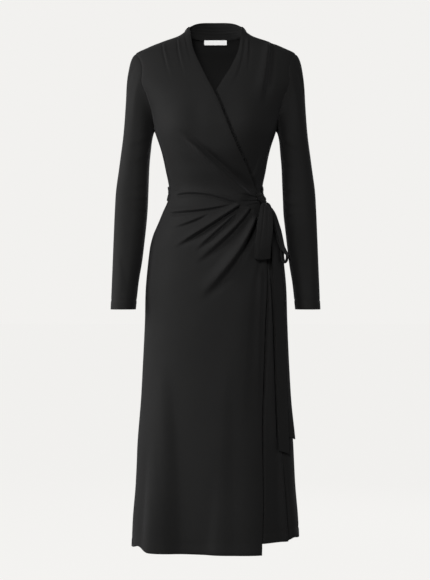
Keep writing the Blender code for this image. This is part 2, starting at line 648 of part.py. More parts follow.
def build_loop(name, middle, width, width_way, finish, parent):
    """A strip along a path, with its width running one way throughout."""
    way = np.array(width_way) / np.linalg.norm(width_way)
    normal = np.cross(np.gradient(middle, axis=0), way)
    normal /= np.linalg.norm(normal, axis=-1, keepdims=True)
    edges = np.array([middle + way * width[:, None] / 2 * side for side in (1, 0, -1)])
    half_wall = normal * TIE_THICK / 2
    return cloth(name, edges + half_wall, edges - half_wall, finish, parent)


def build_knot(finish, parent):
    angle, height = np.radians(KNOT_ANGLE), np.array(KNOT_HEIGHT)
    middle = lay(angle, height, np.array(KNOT_LIFT))
    out = outward(angle, height)
    level = np.cross(out, [0, 0, 1.0])
    level /= np.linalg.norm(level)
    rise = np.cross(level, out)
    tilt = np.radians(KNOT_TILT)
    side = level * np.cos(tilt) + rise * np.sin(tilt)
    up = rise * np.cos(tilt) - level * np.sin(tilt)
    bm = bmesh.new()
    bmesh.ops.create_uvsphere(bm, u_segments=14, v_segments=8, radius=1)
    for vert in bm.verts:
        x, y, z = (np.sign(c) * abs(c) ** KNOT_SQUARENESS for c in vert.co)
        half_length, half_depth, half_height = KNOT_SIZE
        vert.co = middle + side * x * half_length + out * y * half_depth + up * z * half_height
    return add("tie_knot", bm, finish, parent)


def main():
    for item in list(bpy.data.objects):
        bpy.data.objects.remove(item)
    dress = bpy.data.objects.new("wrap_dress", None)
    bpy.context.collection.objects.link(dress)
    jersey = material("jersey", (0.014, 0.014, 0.014), 0.85)
    woven = material("label", (0.80, 0.80, 0.78), 0.60)
    over = front_walls(-1, OVER_ROWS, OVER_COLUMNS, OVER_EDGE, OVER_FOLDS, over_lap)
    under = front_walls(1, UNDER_ROWS, UNDER_COLUMNS, UNDER_EDGE, UNDER_FOLDS, under_lap)
    back = back_walls()
    cloth("right_front", *over, jersey, dress)
    cloth("left_front", *under, jersey, dress)
    cloth("back", *back, jersey, dress)
    build_sleeve("sleeve_right", -1, jersey, dress)
    build_sleeve("sleeve_left", 1, jersey, dress)
    build_neck_band(jersey, dress)
    build_label(back[1], woven, dress)
    build_belt(back[0], under[0], jersey, dress)
    build_knot(jersey, dress)
    build_end("tie_end_front", END_FRONT, jersey, dress)
    build_end("tie_end_side", END_SIDE, jersey, dress)
    build_loop("bow_loop_front", *front_loop_path(), LOOP_FRONT_WAY, jersey, dress)
    build_loop("bow_loop_side", *side_loop_path(), LOOP_SIDE_WAY, jersey, dress)


if __name__ == "__main__":
    main()
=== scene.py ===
"""Black jersey wrap dress, cut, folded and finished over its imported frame.

One ring of cloth for each height gives the body form. Every sewn piece is laid on
that form as a fine grid, moved out by its lap and its folds, and given a thin wall.
Metres, +Z up. The front faces -Y and the wearer's left is +X.
"""
import math
from collections import namedtuple

import bmesh
import bpy
import numpy as np
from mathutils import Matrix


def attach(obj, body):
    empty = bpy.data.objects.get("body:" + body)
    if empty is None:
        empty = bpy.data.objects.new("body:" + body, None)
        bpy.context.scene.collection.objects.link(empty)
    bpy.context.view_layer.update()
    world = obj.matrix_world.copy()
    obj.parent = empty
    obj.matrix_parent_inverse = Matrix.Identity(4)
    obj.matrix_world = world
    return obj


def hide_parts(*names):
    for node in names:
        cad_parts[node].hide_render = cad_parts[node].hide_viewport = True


bl_info = {
    "name": "Wrap Dress",
    "version": (1, 0, 0),
    "blender": (4, 5, 0),
    "location": "3D View > Sidebar > Wrap Dress",
    "description": "Cuts, folds and finishes a long-sleeved jersey wrap dress",
    "category": "Object",
}

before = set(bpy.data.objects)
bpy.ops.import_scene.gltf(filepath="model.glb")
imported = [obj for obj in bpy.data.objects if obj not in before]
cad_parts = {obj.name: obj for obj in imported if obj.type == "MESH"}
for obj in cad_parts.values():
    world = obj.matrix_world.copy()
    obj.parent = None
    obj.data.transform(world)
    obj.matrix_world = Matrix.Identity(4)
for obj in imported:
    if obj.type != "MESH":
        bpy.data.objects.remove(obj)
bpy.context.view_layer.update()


def in_mm(kind, lengths, rows):
    """Rows of a table whose first columns, as many as lengths says, are millimetres."""
    return [kind(*(size / 1000 for size in row[:lengths]), *row[lengths:]) for row in rows]


# ---- cut: the dress's own sizes ------------------------------------------------------
# The over front lies out over the under one. This lap grows from its start, counted in
# degrees from the front centre, over its reach.
LAP = 0.0042
LAP_START = 78.0
LAP_REACH = 50.0
# The under front sinks where it is covered, and most in a narrow gap along the wrap
# edge, which is a little wider in the skirt.
TUCK = 0.0115
TUCK_START = 0.004
TUCK_REACH = 0.024
GAP_DEPTH = 0.0105
GAP_AWAY = 0.0012
GAP_WIDTH = 0.0021
SKIRT_GAP_MORE = 0.0008
SKIRT_GAP_START = -0.42
SKIRT_GAP_REACH = 0.12
# Both wrap edges roll in, and the over front's is cut back below the neck.
EDGE_ROLL = 0.0006
EDGE_ROLL_WIDTH = 0.004
EDGE_TRIM = 0.0028
EDGE_TRIM_START = -0.05
EDGE_TRIM_REACH = 0.08
# Seams and stitched hems show as shallow dips; a turned hem stands a little out.
SEAM_DIP = 0.0006
SEAM_DIP_WIDTH = 0.0025
SLEEVE_SEAM_DIP = 0.0005
SLEEVE_SEAM_DIP_WIDTH = 0.0016
HEM_STAND = 0.0004
HEM_STAND_REACH = 0.004
STITCH_DIP = 0.0007
STITCH_DIP_WIDTH = 0.0022
# Seams and the belt hold the folds down for this far beside them; at the shoulder seam
# a share of the folds stays.
SHOULDER_HOLD = 0.006
SHOULDER_FOLD_SHARE = 0.25
NECK_HOLD = 0.008
SIDE_HOLD = 0.012
SLEEVE_HOLD = 0.012
BELT_HOLD = 0.010
# The fronts and the back meet at the sides and end this near to the plane y = 0.
FRONT_LIMIT = 0.0002
BACK_LIMIT = -0.0004
# A seam allowance turns in behind its seam; its second row lies near the seam.
ALLOWANCE_ANGLE = 0.03
ALLOWANCE_DEPTH = 0.0015
ALLOWANCE_ROW = 0.6
NORMAL_STEP = 0.004
# The neck at the shoulder seams, and the band that stands round the back of it.
NECK_SIDE = 0.0629
NECK_SIDE_TOP = 0.0409
COLLAR_FOOT = 0.0732
COLLAR_FOOT_HEIGHT = 0.0282
COLLAR_BACK_FOOT = 0.018
COLLAR_BACK_TOP = 0.0575
COLLAR_BACK_DEPTH = 0.053
COLLAR_ROUNDNESS = 2.3
COLLAR_FLATNESS = 4.0
COLLAR_TUCK = 0.004
COLLAR_TUCK_DEPTH = 0.0014
COLLAR_SWELL = 0.0010
COLLAR_SEAM_WIDTH = 0.07
COLLAR_LAYERS = 1.5
# Heights of the shoulder's tip, the underarm, the belt and the hems.
SHOULDER_TIP = -0.0247
UNDERARM = -0.207
ARMHOLE_REACH = 0.047
BELT_TOP = -0.335
BELT_BOTTOM = -0.369
HEM_OVER = -1.180
HEM_UNDER = -1.156
HEM_DIP = 0.003

# The body form, ring by ring; a higher squareness is nearer to a rectangle.
Ring = namedtuple("Ring", "height half_width front back squareness")
BODY = in_mm(Ring, 4, [
    (-1240, 199, 137, 144, 2.05), (-1204, 197.4, 135, 142, 2.05), (-1119, 193.9, 130, 137, 2.05),
    (-1029, 186.8, 124, 131, 2.05), (-931, 182.1, 118, 126, 2.1), (-837, 175.1, 112, 121, 2.1),
    (-747, 170.4, 108, 118, 2.1), (-649, 165.7, 106, 118, 2.15), (-578, 163.3, 105, 117, 2.2),
    (-522, 158.6, 103, 111, 2.2), (-479, 153.9, 101, 103, 2.2), (-451, 146.9, 99, 95, 2.2),
    (-423, 135.1, 96, 86, 2.2), (-395, 123.4, 92, 77, 2.2), (-367, 111.6, 89, 71, 2.2),
    (-348, 108.8, 88, 69, 2.2), (-296, 117.5, 102, 79, 2.2), (-249, 128.1, 115, 90, 2.25),
    (-207, 141.9, 117, 97, 2.3), (-162, 157, 108, 99, 2.3), (-129, 173.7, 98, 97, 2.3),
    (-87, 196, 81, 90, 2.3), (-50, 194, 62, 81, 2.3),
]) + [
    Ring(SHOULDER_TIP, 0.1880, 0.046, 0.073, 2.30),
    Ring(-0.0094, 0.1595, 0.037, 0.067, 2.30),
    Ring(0.0047, 0.1250, 0.031, 0.063, 2.30),
    Ring(0.0188, 0.0870, 0.025, 0.059, 2.30),
    Ring(COLLAR_FOOT_HEIGHT, COLLAR_FOOT, 0.022, 0.056, 2.20),
    Ring(NECK_SIDE_TOP, NECK_SIDE, 0.014, 0.051, 2.10),
    Ring(0.0600, 0.0550, 0.008, 0.047, 2.10),
]

# The skirt swings out and in at these angles, in degrees, more and more to the hem.
Flute = namedtuple("Flute", "angle width hem_lift")
FLUTES = (
    Flute(-58, 16, 0.006),
    Flute(-16, 24, -0.016),
    Flute(26, 15, 0.009),
    Flute(64, 12, 0.005),
    Flute(118, 18, 0.009),
    Flute(152, 16, -0.012),
    Flute(186, 17, 0.010),
    Flute(216, 15, -0.011),
    Flute(246, 16, 0.008),
)
FLUTE_START = -0.70
FLUTE_GROWTH = 1.6

# How far across each wrap edge lies at a height, and the rows between side and edge.
Edge = namedtuple("Edge", "height across")
NECK_EDGE = [Edge(NECK_SIDE_TOP, -NECK_SIDE), Edge(0.060, -0.0640)]
OVER_EDGE = in_mm(Edge, 2, [
    (-1240, 99.5), (-1030, 107), (-900, 106.5), (-800, 110.5), (-650, 116), (-548, 120),
    (-450, 113), (-400, 107), (-370, 101.5), (-342, 93), (-297, 74.5), (-259, 55.5), (-216, 36),
    (-175, 20.1), (-120, -2.6), (-97, -15.4), (-59, -35), (-13, -53), (30, -60),
]) + NECK_EDGE
UNDER_EDGE = in_mm(Edge, 2, [
    (-1240, 100), (-800, 102), (-548, 104), (-450, 96), (-370, 88), (-297, 70), (-216, 36),
    (-175, 18), (-120, -1.5), (-97, -14), (-59, -36.5), (-13, -54.5), (30, -61),
]) + NECK_EDGE
Station = namedtuple("Station", "seam edge rows droop", defaults=(1.0,))
ARMHOLE_ROWS = 44
OVER_ROWS = (
    Station(SHOULDER_TIP, NECK_SIDE_TOP, ARMHOLE_ROWS),
    Station(UNDERARM, -0.150, 36),
    Station(-0.345, -0.352, 50, 0.85),
    Station(-0.440, -0.364, 50, 0.80),
    Station(-0.570, -0.380, 28, 0.76),
    Station(-0.690, -0.402, 26, 0.70),
    Station(-0.820, -0.560, 26, 0.80),
    Station(-0.960, -0.800, 44, 0.90),
    Station(HEM_OVER, HEM_OVER - HEM_DIP, 0),
)
UNDER_ROWS = (
    Station(SHOULDER_TIP, NECK_SIDE_TOP, ARMHOLE_ROWS),
    Station(UNDERARM, -0.150, 36),
    Station(BELT_TOP, BELT_TOP, 10),
    Station(BELT_BOTTOM, BELT_BOTTOM, 60),
    Station(-0.600, -0.600, 100),
    Station(HEM_UNDER, HEM_UNDER - HEM_DIP, 0),
)
BACK_ROWS = (
    Station(UNDERARM, UNDERARM, 36),
    Station(BELT_TOP, BELT_TOP, 12),
    Station(BELT_BOTTOM, BELT_BOTTOM, 66),
    Station(-0.600, -0.600, 100),
    Station(HEM_OVER, HEM_UNDER, 0),
)
OVER_COLUMNS = 144
UNDER_COLUMNS = 150
COLLAR_COLUMNS = 96
COLLAR_ROWS = 25
SEAM_REACH = 0.07
EDGE_CROWDING = 1.2
EDGE_SOFT = 0.04
BACK_SHOULDER_COLUMNS = 34
BACK_NECK_COLUMNS = 44

# ---- folds ---------------------------------------------------------------------------
# A crease runs from its start through its bend to its end, seen from the front or, on
# the back, from behind. Its trough lies on the line and its ridge on the right of the
# way it runs, a width away; a negative width puts the ridge on the left. It rises over
# its first share of the way and dies over its last one.
Crease = namedtuple("Crease", "x0 z0 x1 z1 x2 z2 width ridge trough rise fade")
CREASE_STEPS = 48
FOLDS_FORWARD = 0.8
CREASE_SPREAD = 0.32
# Shares of a crease's width: its trough's reach to the ridge's side and to the other, and
# its ridge's reach beyond and back to the trough.
TROUGH_WIDTHS = (0.42, 0.95)
RIDGE_WIDTHS = (1.30, 0.62)
OVER_CREASES = in_mm(Crease, 9, [
    # shoulder pleats, held in the seam and opening over the chest
    (-123.5, -6, -120, -44, -98, -104, -4, 1.3, 1.3, 0, 0.8),
    (-89, 4, -86, -46, -68, -92, -3.8, 1, 1, 0, 0.8),
    (-72, 18, -64, -30, -50, -74, 4.5, 0.4, 0.5, 0, 0.9),
    # the long fold from the bust to the knot
    (-80, -210, 6, -283, 89, -358.5, 10.8, 10.8, 6.4, 0.36, 0.1),
    (-92, -225, -6, -298, 60, -352, 10, 0, 3.4, 0.4, 0.35),
    # small creases at the side of the waist
    (-46, -344, -70, -345.5, -102, -350, 3.6, 1, 1.4, 0.4, 0.3),
    (-64, -336.5, -82, -336, -104, -340, 3.2, 0.7, 0.9, 0.4, 0.3),
    # the folds that fan out below the knot, from the top down
    (54, -382.2, -28.4, -348.2, -94, -361.2, 4.4, 2.8, 4.6, 0.12, 0.14),
    (41.7, -380.1, -13.3, -399.8, -112, -402.8, 4.4, 3, 4.4, 0.45, 0.12),
    (-10, -401.5, -54.8, -427.3, -107, -441, 4.2, 2.6, 3.6, 0.4, 0.55),
    (58, -383.5, -15, -438.5, -97, -487, 6, 7.2, 6, 0.05, 0.4),
    (54, -399, 6, -444, -48, -496, 5.2, 5, 3.8, 0.25, 0.4),
    (81, -390, 53, -447, -48, -525, 7.6, 8.6, 6.4, 0.05, 0.45),
    (97.5, -402, 69, -514.5, -40, -612, 10.8, 14.8, 7.6, 0.1, 0.5),
    (108.5, -430, 106, -500, 84, -590, 7, 2.2, 1.8, 0.2, 0.6),
    (100, -410, 88, -439, 60, -506, 5.4, 2, 6, 0.15, 0.5),
    # gathers that leave the knot itself
    (92, -364, 70, -360, 40, -356, 3.4, 1.6, 1.8, 0, 0.8),
    (92.5, -372.5, 72, -373.5, 48, -374.5, 3, 1.4, 1.8, 0, 0.8),
    (93, -379, 76, -383, 60, -388, 3, 1.4, 1.6, 0, 0.8),
    # the skirt's long soft folds
    (-122, -430, -136, -560, -130, -700, 26, 2, 1, 0.4, 0.5),
    (-104, -720, -83, -900, -74, -1182, 36, 7.6, 3.4, 0.45, 0),
    (-154, -900, -161, -1040, -174, -1182, -20, 12, 6, 0.8, 0),
    (-4, -980, -10, -1090, -23, -1182, -20, 3, 1.6, 1, 0),
    (46, -700, 36, -860, 46, -1182, 30, 1.8, 1.2, 0.6, 0),
    # the panel stays flat and then turns away just before the wrap edge
    (100, -520, 98, -700, 90, -1000, 30, 3.6, 0, 0.3, 0.5),
    (109, -520, 107, -660, 101, -900, 7.5, 3, 2.4, 0.2, 0.5),
])
UNDER_CREASES = in_mm(Crease, 9, [
    (130, -8, 125.5, -85, 109, -160, 10, 4, 8.5, 0, 0.45),
    (79, 6, 78.5, -40, 74, -78, 4.5, 0.8, 0.9, 0, 0.8),
    (66.5, 6, 64.5, -72, 27, -122, 5.6, 0.6, 0.6, 0, 0.6),
    (98, -345, 112, -300, 116, -235, 7, 2.2, 2, 0.1, 0.7),
    (80, -330, 96, -275, 118, -215, 7, 1.6, 1.4, 0.2, 0.7),
    (134, -450, 138, -700, 134, -980, 10, 2.2, 1.8, 0.3, 0.5),
    (150, -880, 160.5, -1040, 170.5, -1160, 5.6, 9, 6, 0.6, 0),
    # the tie ends press into the skirt
    (125.9, -513, 140.5, -749, 145, -950, 6, 3.6, 8.5, 0.05, 0.1),
    (134.5, -425, 155.8, -557.5, 164, -860, 4.2, 0, 8.5, 0.05, 0.3),
])
BACK_CREASES = in_mm(Crease, 9, [
    # seen from behind, so that x grows towards the wearer's right
    (-20, -330, -40, -280, -48, -200, 8, 3, 2.2, 0.05, 0.7),
    (12, -330, 14, -270, 8, -190, 7.5, 2.6, 2, 0.05, 0.7),
    (46, -330, 62, -290, 78, -220, 8, 3, 2.4, 0.05, 0.7),
    (-66, -330, -78, -290, -92, -230, 7, 2.6, 2, 0.05, 0.7),
    (78, -332, 90, -300, 108, -256, 6.5, 2.4, 1.8, 0.05, 0.7),
    (-60, -374, -72, -430, -90, -520, 9, 4, 3, 0.05, 0.7),
    (-26, -374, -34, -440, -40, -540, 8.5, 3.4, 2.6, 0.05, 0.7),
    (4, -374, 2, -430, 12, -500, 8, 3, 2.4, 0.05, 0.7),
    (34, -374, 46, -440, 56, -560, 9, 4, 3, 0.05, 0.7),
    (68, -374, 86, -420, 104, -490, 8, 3.4, 2.6, 0.05, 0.7),
    (-86, -374, -100, -410, -124, -460, 7, 2.8, 2, 0.05, 0.7),
    # across the shoulders and below the neck
    (-90, -50, -50, -80, 20, -86, 16, 2.2, 1.6, 0.4, 0.4),
    (120, -70, 100, -120, 60, -180, 14, 2.4, 1.8, 0.3, 0.5),
    (-126, -80, -104, -130, -70, -190, 14, 2.4, 1.8, 0.3, 0.5),
    # the skirt's long soft folds
    (-80, -540, -88, -740, -84, -1000, 20, 2.8, 2, 0.4, 0.4),
    (20, -560, 30, -800, 26, -1100, 22, 2.8, 2, 0.4, 0.3),
    (92, -520, 104, -700, 112, -960, 18, 2.6, 1.8, 0.4, 0.4),
])

# Slow uneven waves in each piece.
Wave = namedtuple("Wave", "depth scale turn")
OVER_WAVE = Wave(0.0007, 0.050, 0.4)
UNDER_WAVE = Wave(0.0007, 0.050, 2.3)
BACK_WAVE = Wave(0.0010, 0.050, 1.1)
RIGHT_SLEEVE_WAVE = Wave(0.0005, 0.040, 0.7)
LEFT_SLEEVE_WAVE = Wave(0.0005, 0.040, 2.9)
COLLAR_WAVE = Wave(0.0005, 0.020, 0.9)
BELT_WAVE = Wave(0.0005, 0.016, 1.9)

# The bust stands proud of the rings.
Swell = namedtuple("Swell", "x z half_width half_height depth")
SWELLS = in_mm(Swell, 5, [
    (-86, -200, 42, 56, 10.5), (80, -198, 42, 52, 8.5), (-46, -180, 24, 50, -3),
])
SWELL_REACH = 0.15

# The hem rises a little in the deepest troughs.
Rise = namedtuple("Rise", "x half_width depth")
HEM_RISES = in_mm(Rise, 3, [(-179, 13, 10), (183, 10, 6)])
RISE_REACH = 0.12

# ---- sleeves ----------------------------------------------------------------------
Arm = namedtuple("Arm", "height outer inner front back")
ARM = in_mm(Arm, 5, [
    (-240, 219.2, 150.8, 50, 52),
    (-296, 226.8, 155.5, 48, 52),
    (-352.5, 234.2, 157.5, 46, 51),
    (-394.8, 236.6, 159.5, 45, 50),
    (-451.2, 239, 165.5, 47, 46),
    (-507.6, 241.2, 172, 50, 39),
    (-564, 243.4, 181, 53, 30),
    (-623.5, 245.8, 187.2, 56, 21),
])
ARM_SQUARENESS = 0.80
# The cap leaves the armhole and arrives at the arm's first ring in one smooth sweep.
CAP_ROWS = 46
ARM_ROWS = 150
CAP_LEAVE = 0.115
CAP_FLARE = -0.22
CAP_TOP_FLARE = 0.37
CAP_CROWDING = 1.5
CAP_ARRIVE = 0.42
CAP_TANGENT = 0.02
# Sleeve creases are placed by the distance round the arm from its outer side towards
# the front, and by height.
ARM_GIRTH = 0.240
RIGHT_SLEEVE_CREASES = in_mm(Crease, 9, [
    (20, -62, 10, -100, 4, -150, 7.5, 1.1, 0.9, 0, 0.8),
    (100, -220, 70, -244, 34, -250, 8, 0.7, 0.6, 0.15, 0.6),
    (108, -250, 80, -280, 46, -292, 8, 0.6, 0.5, 0.15, 0.6),
    (112, -330, 84, -344, 50, -342, 7.5, 0.7, 0.6, 0.15, 0.6),
    (114, -366, 86, -372, 44, -366, 7, 0.8, 0.7, 0.15, 0.6),
    (110, -398, 82, -396, 52, -388, 6.5, 0.6, 0.5, 0.15, 0.6),
    (112, -430, 88, -446, 56, -448, 7, 0.5, 0.5, 0.15, 0.6),
    (40, -480, 60, -530, 72, -600, 10, 0.7, 0.6, 0.4, 0.4),
    (160, -330, 178, -380, 170, -440, 9, 1, 0.8, 0.3, 0.5),
    (150, -230, 176, -260, 196, -266, 9, 0.9, 0.8, 0.2, 0.6),
])
LEFT_SLEEVE_CREASES = in_mm(Crease, 9, [
    (24, -60, 16, -104, 10, -150, 7.5, 1.1, 0.9, 0, 0.8),
    (98, -226, 72, -250, 40, -262, 8, 0.7, 0.6, 0.15, 0.6),
    (110, -268, 82, -296, 50, -300, 8, 0.6, 0.5, 0.15, 0.6),
    (112, -346, 80, -352, 48, -358, 7, 0.7, 0.6, 0.15, 0.6),
    (114, -376, 86, -386, 40, -384, 7, 0.7, 0.6, 0.15, 0.6),
    (110, -412, 80, -408, 56, -402, 6.5, 0.6, 0.5, 0.15, 0.6),
    (44, -470, 62, -520, 66, -600, 10, 0.7, 0.6, 0.4, 0.4),
    (158, -340, 174, -390, 176, -450, 9, 1, 0.8, 0.3, 0.5),
    (152, -240, 172, -264, 194, -280, 9, 0.9, 0.8, 0.2, 0.6),
])

# ---- ties --------------------------------------------------------------------------
TIE_WIDTH = 0.038
BELT_SPAN = (69.2, 268.4)
BELT_POINTS = 281
BELT_ROWS = 19
BELT_LIFT = 0.0030
BELT_ROLL = 0.0004
BELT_ARC = 0.0018
Groove = namedtuple("Groove", "level depth sway")
BELT_GROOVES = (Groove(0.30, 0.0007, 0.6), Groove(0.62, 0.0009, -0.5))
BELT_GROOVE_WIDTH = 0.07
# The belt rises and narrows into the knot, from 82 degrees down to 69.
BELT_END_START = 82
BELT_END_REACH = 13
BELT_END_RISE = 0.0052
BELT_END_TAPER = 0.20
KNOT_ANGLE = 58.0
KNOT_HEIGHT = -0.3690
KNOT_LIFT = 0.0110
KNOT_SIZE = (0.0165, 0.0098, 0.0082)
KNOT_TILT = 50.0
KNOT_FULLNESS = 0.85
# Dips between the turns of cloth that wrap the knot, along its length.
Dip = namedtuple("Dip", "place width depth")
KNOT_DIPS = (
    Dip(0.46, 0.09, 0.22), Dip(-0.44, 0.09, 0.20), Dip(0.10, 0.07, 0.12), Dip(-0.16, 0.05, 0.09),
    Dip(0.28, 0.04, 0.05),
)
Hang = namedtuple("Hang", "height lift width angle turn")
END_FRONT = in_mm(Hang, 3, [
    (-387.2, 10.5, 18, 62, 0), (-420, 6.5, 24, 60.5, 0), (-470, 6, 30, 59, 0), (-550, 7, 34, 58, 0),
    (-650, 7.4, 34, 59.2, 0), (-800, 7.4, 34, 58.2, 0), (-953, 7, 34, 55.7, 0),
])
END_SIDE = in_mm(Hang, 3, [
    (-386, 9, 14, 72, 0), (-420, 4.8, 24, 74, 0), (-480, 3.4, 30, 75, 0), (-560, 3, 34, 75.5, 0),
    (-700, 3, 34, 76, 0), (-830, 3.4, 34, 74.5, 0.05), (-922, 5, 36, 68.5, 0.22),
])
END_WIDENING = 1.10
END_SLANT = 0.0045
Bend = namedtuple("Bend", "across height clear width")
LOOP_FRONT = in_mm(Bend, 4, [
    (113, -375, 10, 10), (115, -376.2, 17, 17), (116, -385, 23.2, 25.5), (115.8, -401, 25, 31.8),
    (114.2, -433, 24.8, 37.8), (111.8, -456, 23.8, 38.8), (109.8, -479, 21.5, 38.2),
    (109.2, -497, 16.5, 37.6), (109, -508.5, 11.8, 36.6), (107, -502, 8, 36),
    (106.8, -470, 7.5, 35.5), (108.8, -435, 8.5, 33), (110, -408, 10, 26), (110.5, -381.5, 6, 14),
])
Route = namedtuple("Route", "x y z width open")
LOOP_SIDE = in_mm(Route, 4, [
    (117, -49, -379, 12, 0), (126.2, -45, -386, 17, 0), (135.2, -44, -401, 21, 0),
    (141.5, -44, -422, 26, 0), (146.5, -44, -441, 30, 0), (150.5, -44.5, -460, 31, 0),
    (154.5, -45, -475.7, 31, 0.1), (159, -45.5, -485, 31, 0.2), (163.8, -46, -493.2, 31, 0.4),
    (167.6, -46, -501.3, 31, 0.58), (166.4, -46, -509.8, 31, 0.6), (161.5, -46, -515.8, 31, 0.58),
    (156.6, -45.5, -511.2, 31, 0.6), (154.8, -45, -501.1, 30, 0.62), (154, -44.5, -488.4, 29, 0.5),
    (149.5, -44, -462, 27, 0.6), (143, -43.5, -437, 24, 0.6), (134, -43, -409, 19, 0.6),
    (119, -44, -384, 12, 0.6),
])
Pleat = namedtuple("Pleat", "depth place width reach")
LOOP_PLEATS = in_mm(Pleat, 1, [
    (2, -0.42, 0.10, 0.34), (1.6, 0.30, 0.16, 0.28), (1.2, 0.72, 0.09, 0.2), (0.8, -0.05, 0.10, 0.2),
])
LOOP_SHOULDER = 0.0050
LOOP_STEPS = 170
END_STEPS = 150
LOOP_FRONT_WAY = (1.0, 0.35, 0.0)
LOOP_SIDE_WAY = (0.50, 0.87, 0.0)
LOOP_SIDE_OPEN = (-0.47, 0.0, 0.0)

# ---- neck band and label ---------------------------------------------------------------
NECK_TUCK = 0.00028
NECK_TUCKS = 5
LABEL_HALF_WIDTH = 0.0272
LABEL_TOP = -0.0002
LABEL_DROP = 0.0114
LABEL_INWARD = 0.0040
LABEL_WAVE = 0.0003
LABEL_LEAN = 0.0008
LABEL_CLOTH = 0.0005
LABEL_RIM = 0.0001

# ---- studio ----------------------------------------------------------------------------
SENSOR_HEIGHT = 24
CAMERA_ACROSS = -0.0012
PAPER_SHADE = 0.06
PAPER_GLOW = 0.985
# Each lamp takes its share of one of the powers in the panel.
Lamp = namedtuple("Lamp", "name place power share size aim spread",
                  defaults=((0.0, 0.0, -0.55), 180))
LAMPS = (
    Lamp("Key_Lamp", (-2.7, -0.78, 0.15), "key", 1.06, 1.3),
    Lamp("Fill_Lamp", (2.3, -1.7, -1.1), "fill", 0.56, 1.4),
    Lamp("Front_Lamp", (-0.5, -3.3, 0.8), "fill", 0.68, 0.8, (-0.15, 0.0, -0.65), 90),
    Lamp("Rim_Lamp", (-2.2, 0.8, -0.3), "key", 0.16, 1.0),
    Lamp("Back_Lamp", (0.9, 2.9, 0.5), "key", 0.6, 1.4),
    Lamp("Label_Lamp", (0.0, -3.6, 0.3), "label", 1.0, 0.3, (0.0, 0.0, 0.0)),
)
LAMP_TALLNESS = 1.3


class DressSizes(bpy.types.PropertyGroup):
    """Sizes of the cloth and of its finish"""
    cloth: bpy.props.FloatProperty(
        name="Cloth", description="Thickness of the jersey", default=0.0011, min=0.0005,
        max=0.003, unit="LENGTH", precision=4)
    tie_cloth: bpy.props.FloatProperty(
        name="Tie", description="Thickness of the folded and sewn tie", default=0.0016,
        min=0.0005, max=0.004, unit="LENGTH", precision=4)
    fold_depth: bpy.props.FloatProperty(
        name="Fold depth", description="How deep the main folds are", default=1.0, min=0.0,
        max=1.5, subtype="FACTOR")
    hem: bpy.props.FloatProperty(
        name="Hem", description="Depth of the turned hems", default=0.022, min=0.01,
        max=0.04, unit="LENGTH", precision=3)
    wale: bpy.props.FloatProperty(
        name="Wale", description="Width of one column of knitted stitches", default=0.0009,
        min=0.0004, max=0.003, unit="LENGTH", precision=4)


class DressColours(bpy.types.PropertyGroup):
    """Colours of the dress and of the studio"""
    jersey: bpy.props.FloatVectorProperty(
        name="Jersey", description="Colour of the dyed yarn", size=3, subtype="COLOR",
        default=(0.0160, 0.0157, 0.0155), min=0.0, max=1.0)
    # Painted highlight: the lighter yarn colour that the stitch tops are painted with.
    jersey_lit_tops: bpy.props.FloatVectorProperty(
        name="Jersey, raised", description="Colour of the yarn where it stands up", size=3,
        subtype="COLOR", default=(0.0225, 0.0222, 0.0220), min=0.0, max=1.0)
    label: bpy.props.FloatVectorProperty(
        name="Label", description="Colour of the woven label", size=3, subtype="COLOR",
        default=(0.93, 0.93, 0.92), min=0.0, max=1.0)
    studio: bpy.props.FloatVectorProperty(
        name="Studio", description="Tone of the floor and the backdrop", size=3,
        subtype="COLOR", default=(0.888, 0.880, 0.863), min=0.0, max=1.0)


class Studio(bpy.types.PropertyGroup):
    """Camera, floor and lamps"""
    distance: bpy.props.FloatProperty(
        name="Camera distance", description="From the camera to the shoulders", default=4.0,
        min=1.0, max=12.0, unit="LENGTH")
    eye_level: bpy.props.FloatProperty(
        name="Eye level", description="Height of the camera", default=-0.5781, unit="LENGTH")
    seen_height: bpy.props.FloatProperty(
        name="Picture height", description="Height that the camera takes in at the shoulders",
        default=1.363, min=0.2, max=5.0, unit="LENGTH")
    floor: bpy.props.FloatProperty(
        name="Floor", description="Height of the floor that a wearer stands on", default=-1.45,
        unit="LENGTH")
    key: bpy.props.FloatProperty(
        name="Key light", description="Power of the large lamp", default=38.0, min=0.0,
        unit="POWER")
    fill: bpy.props.FloatProperty(
        name="Fill light", description="Power of the weaker lamp", default=13.0, min=0.0,
        unit="POWER")
    label: bpy.props.FloatProperty(
        name="Label light", description="Power of the lamp that reaches the label in the neck",
        default=90.0, min=0.0, unit="POWER")
    ambient: bpy.props.FloatProperty(
        name="Ambient", description="Light from all round", default=0.13, min=0.0, max=2.0)


# ---- reading the tables --------------------------------------------------------------
def column(table, name):
    return np.array([getattr(row, name) for row in table])


def smooth(at, knots, values):
    """Read a smooth curve through the knots, which never swings past them."""
    step = np.diff(knots)
    slope = np.diff(values) / step
    before, after = slope[:-1], slope[1:]
    same_way = before * after > 0
    total = np.where(same_way, before + after, 1.0)
    inner = np.where(same_way, 2 * before * after / total, 0.0)
    tangent = np.concatenate(([slope[0]], inner, [slope[-1]]))
    cell = np.clip(np.searchsorted(knots, at) - 1, 0, len(step) - 1)
    t = np.clip((at - knots[cell]) / step[cell], 0, 1)
    rise = values[cell + 1] - values[cell]
    leave = t * (1 - t) ** 2 * tangent[cell]
    arrive = -t * t * (1 - t) * tangent[cell + 1]
    return values[cell] + rise * ease(t) + step[cell] * (leave + arrive)


def ease(t):
    t = np.clip(t, 0, 1)
    return t * t * (3 - 2 * t)


def bump(x):
    return np.exp(-x * x)


def ring(height):
    heights = column(BODY, "height")
    return [smooth(height, heights, column(BODY, name)) for name in Ring._fields[1:]]


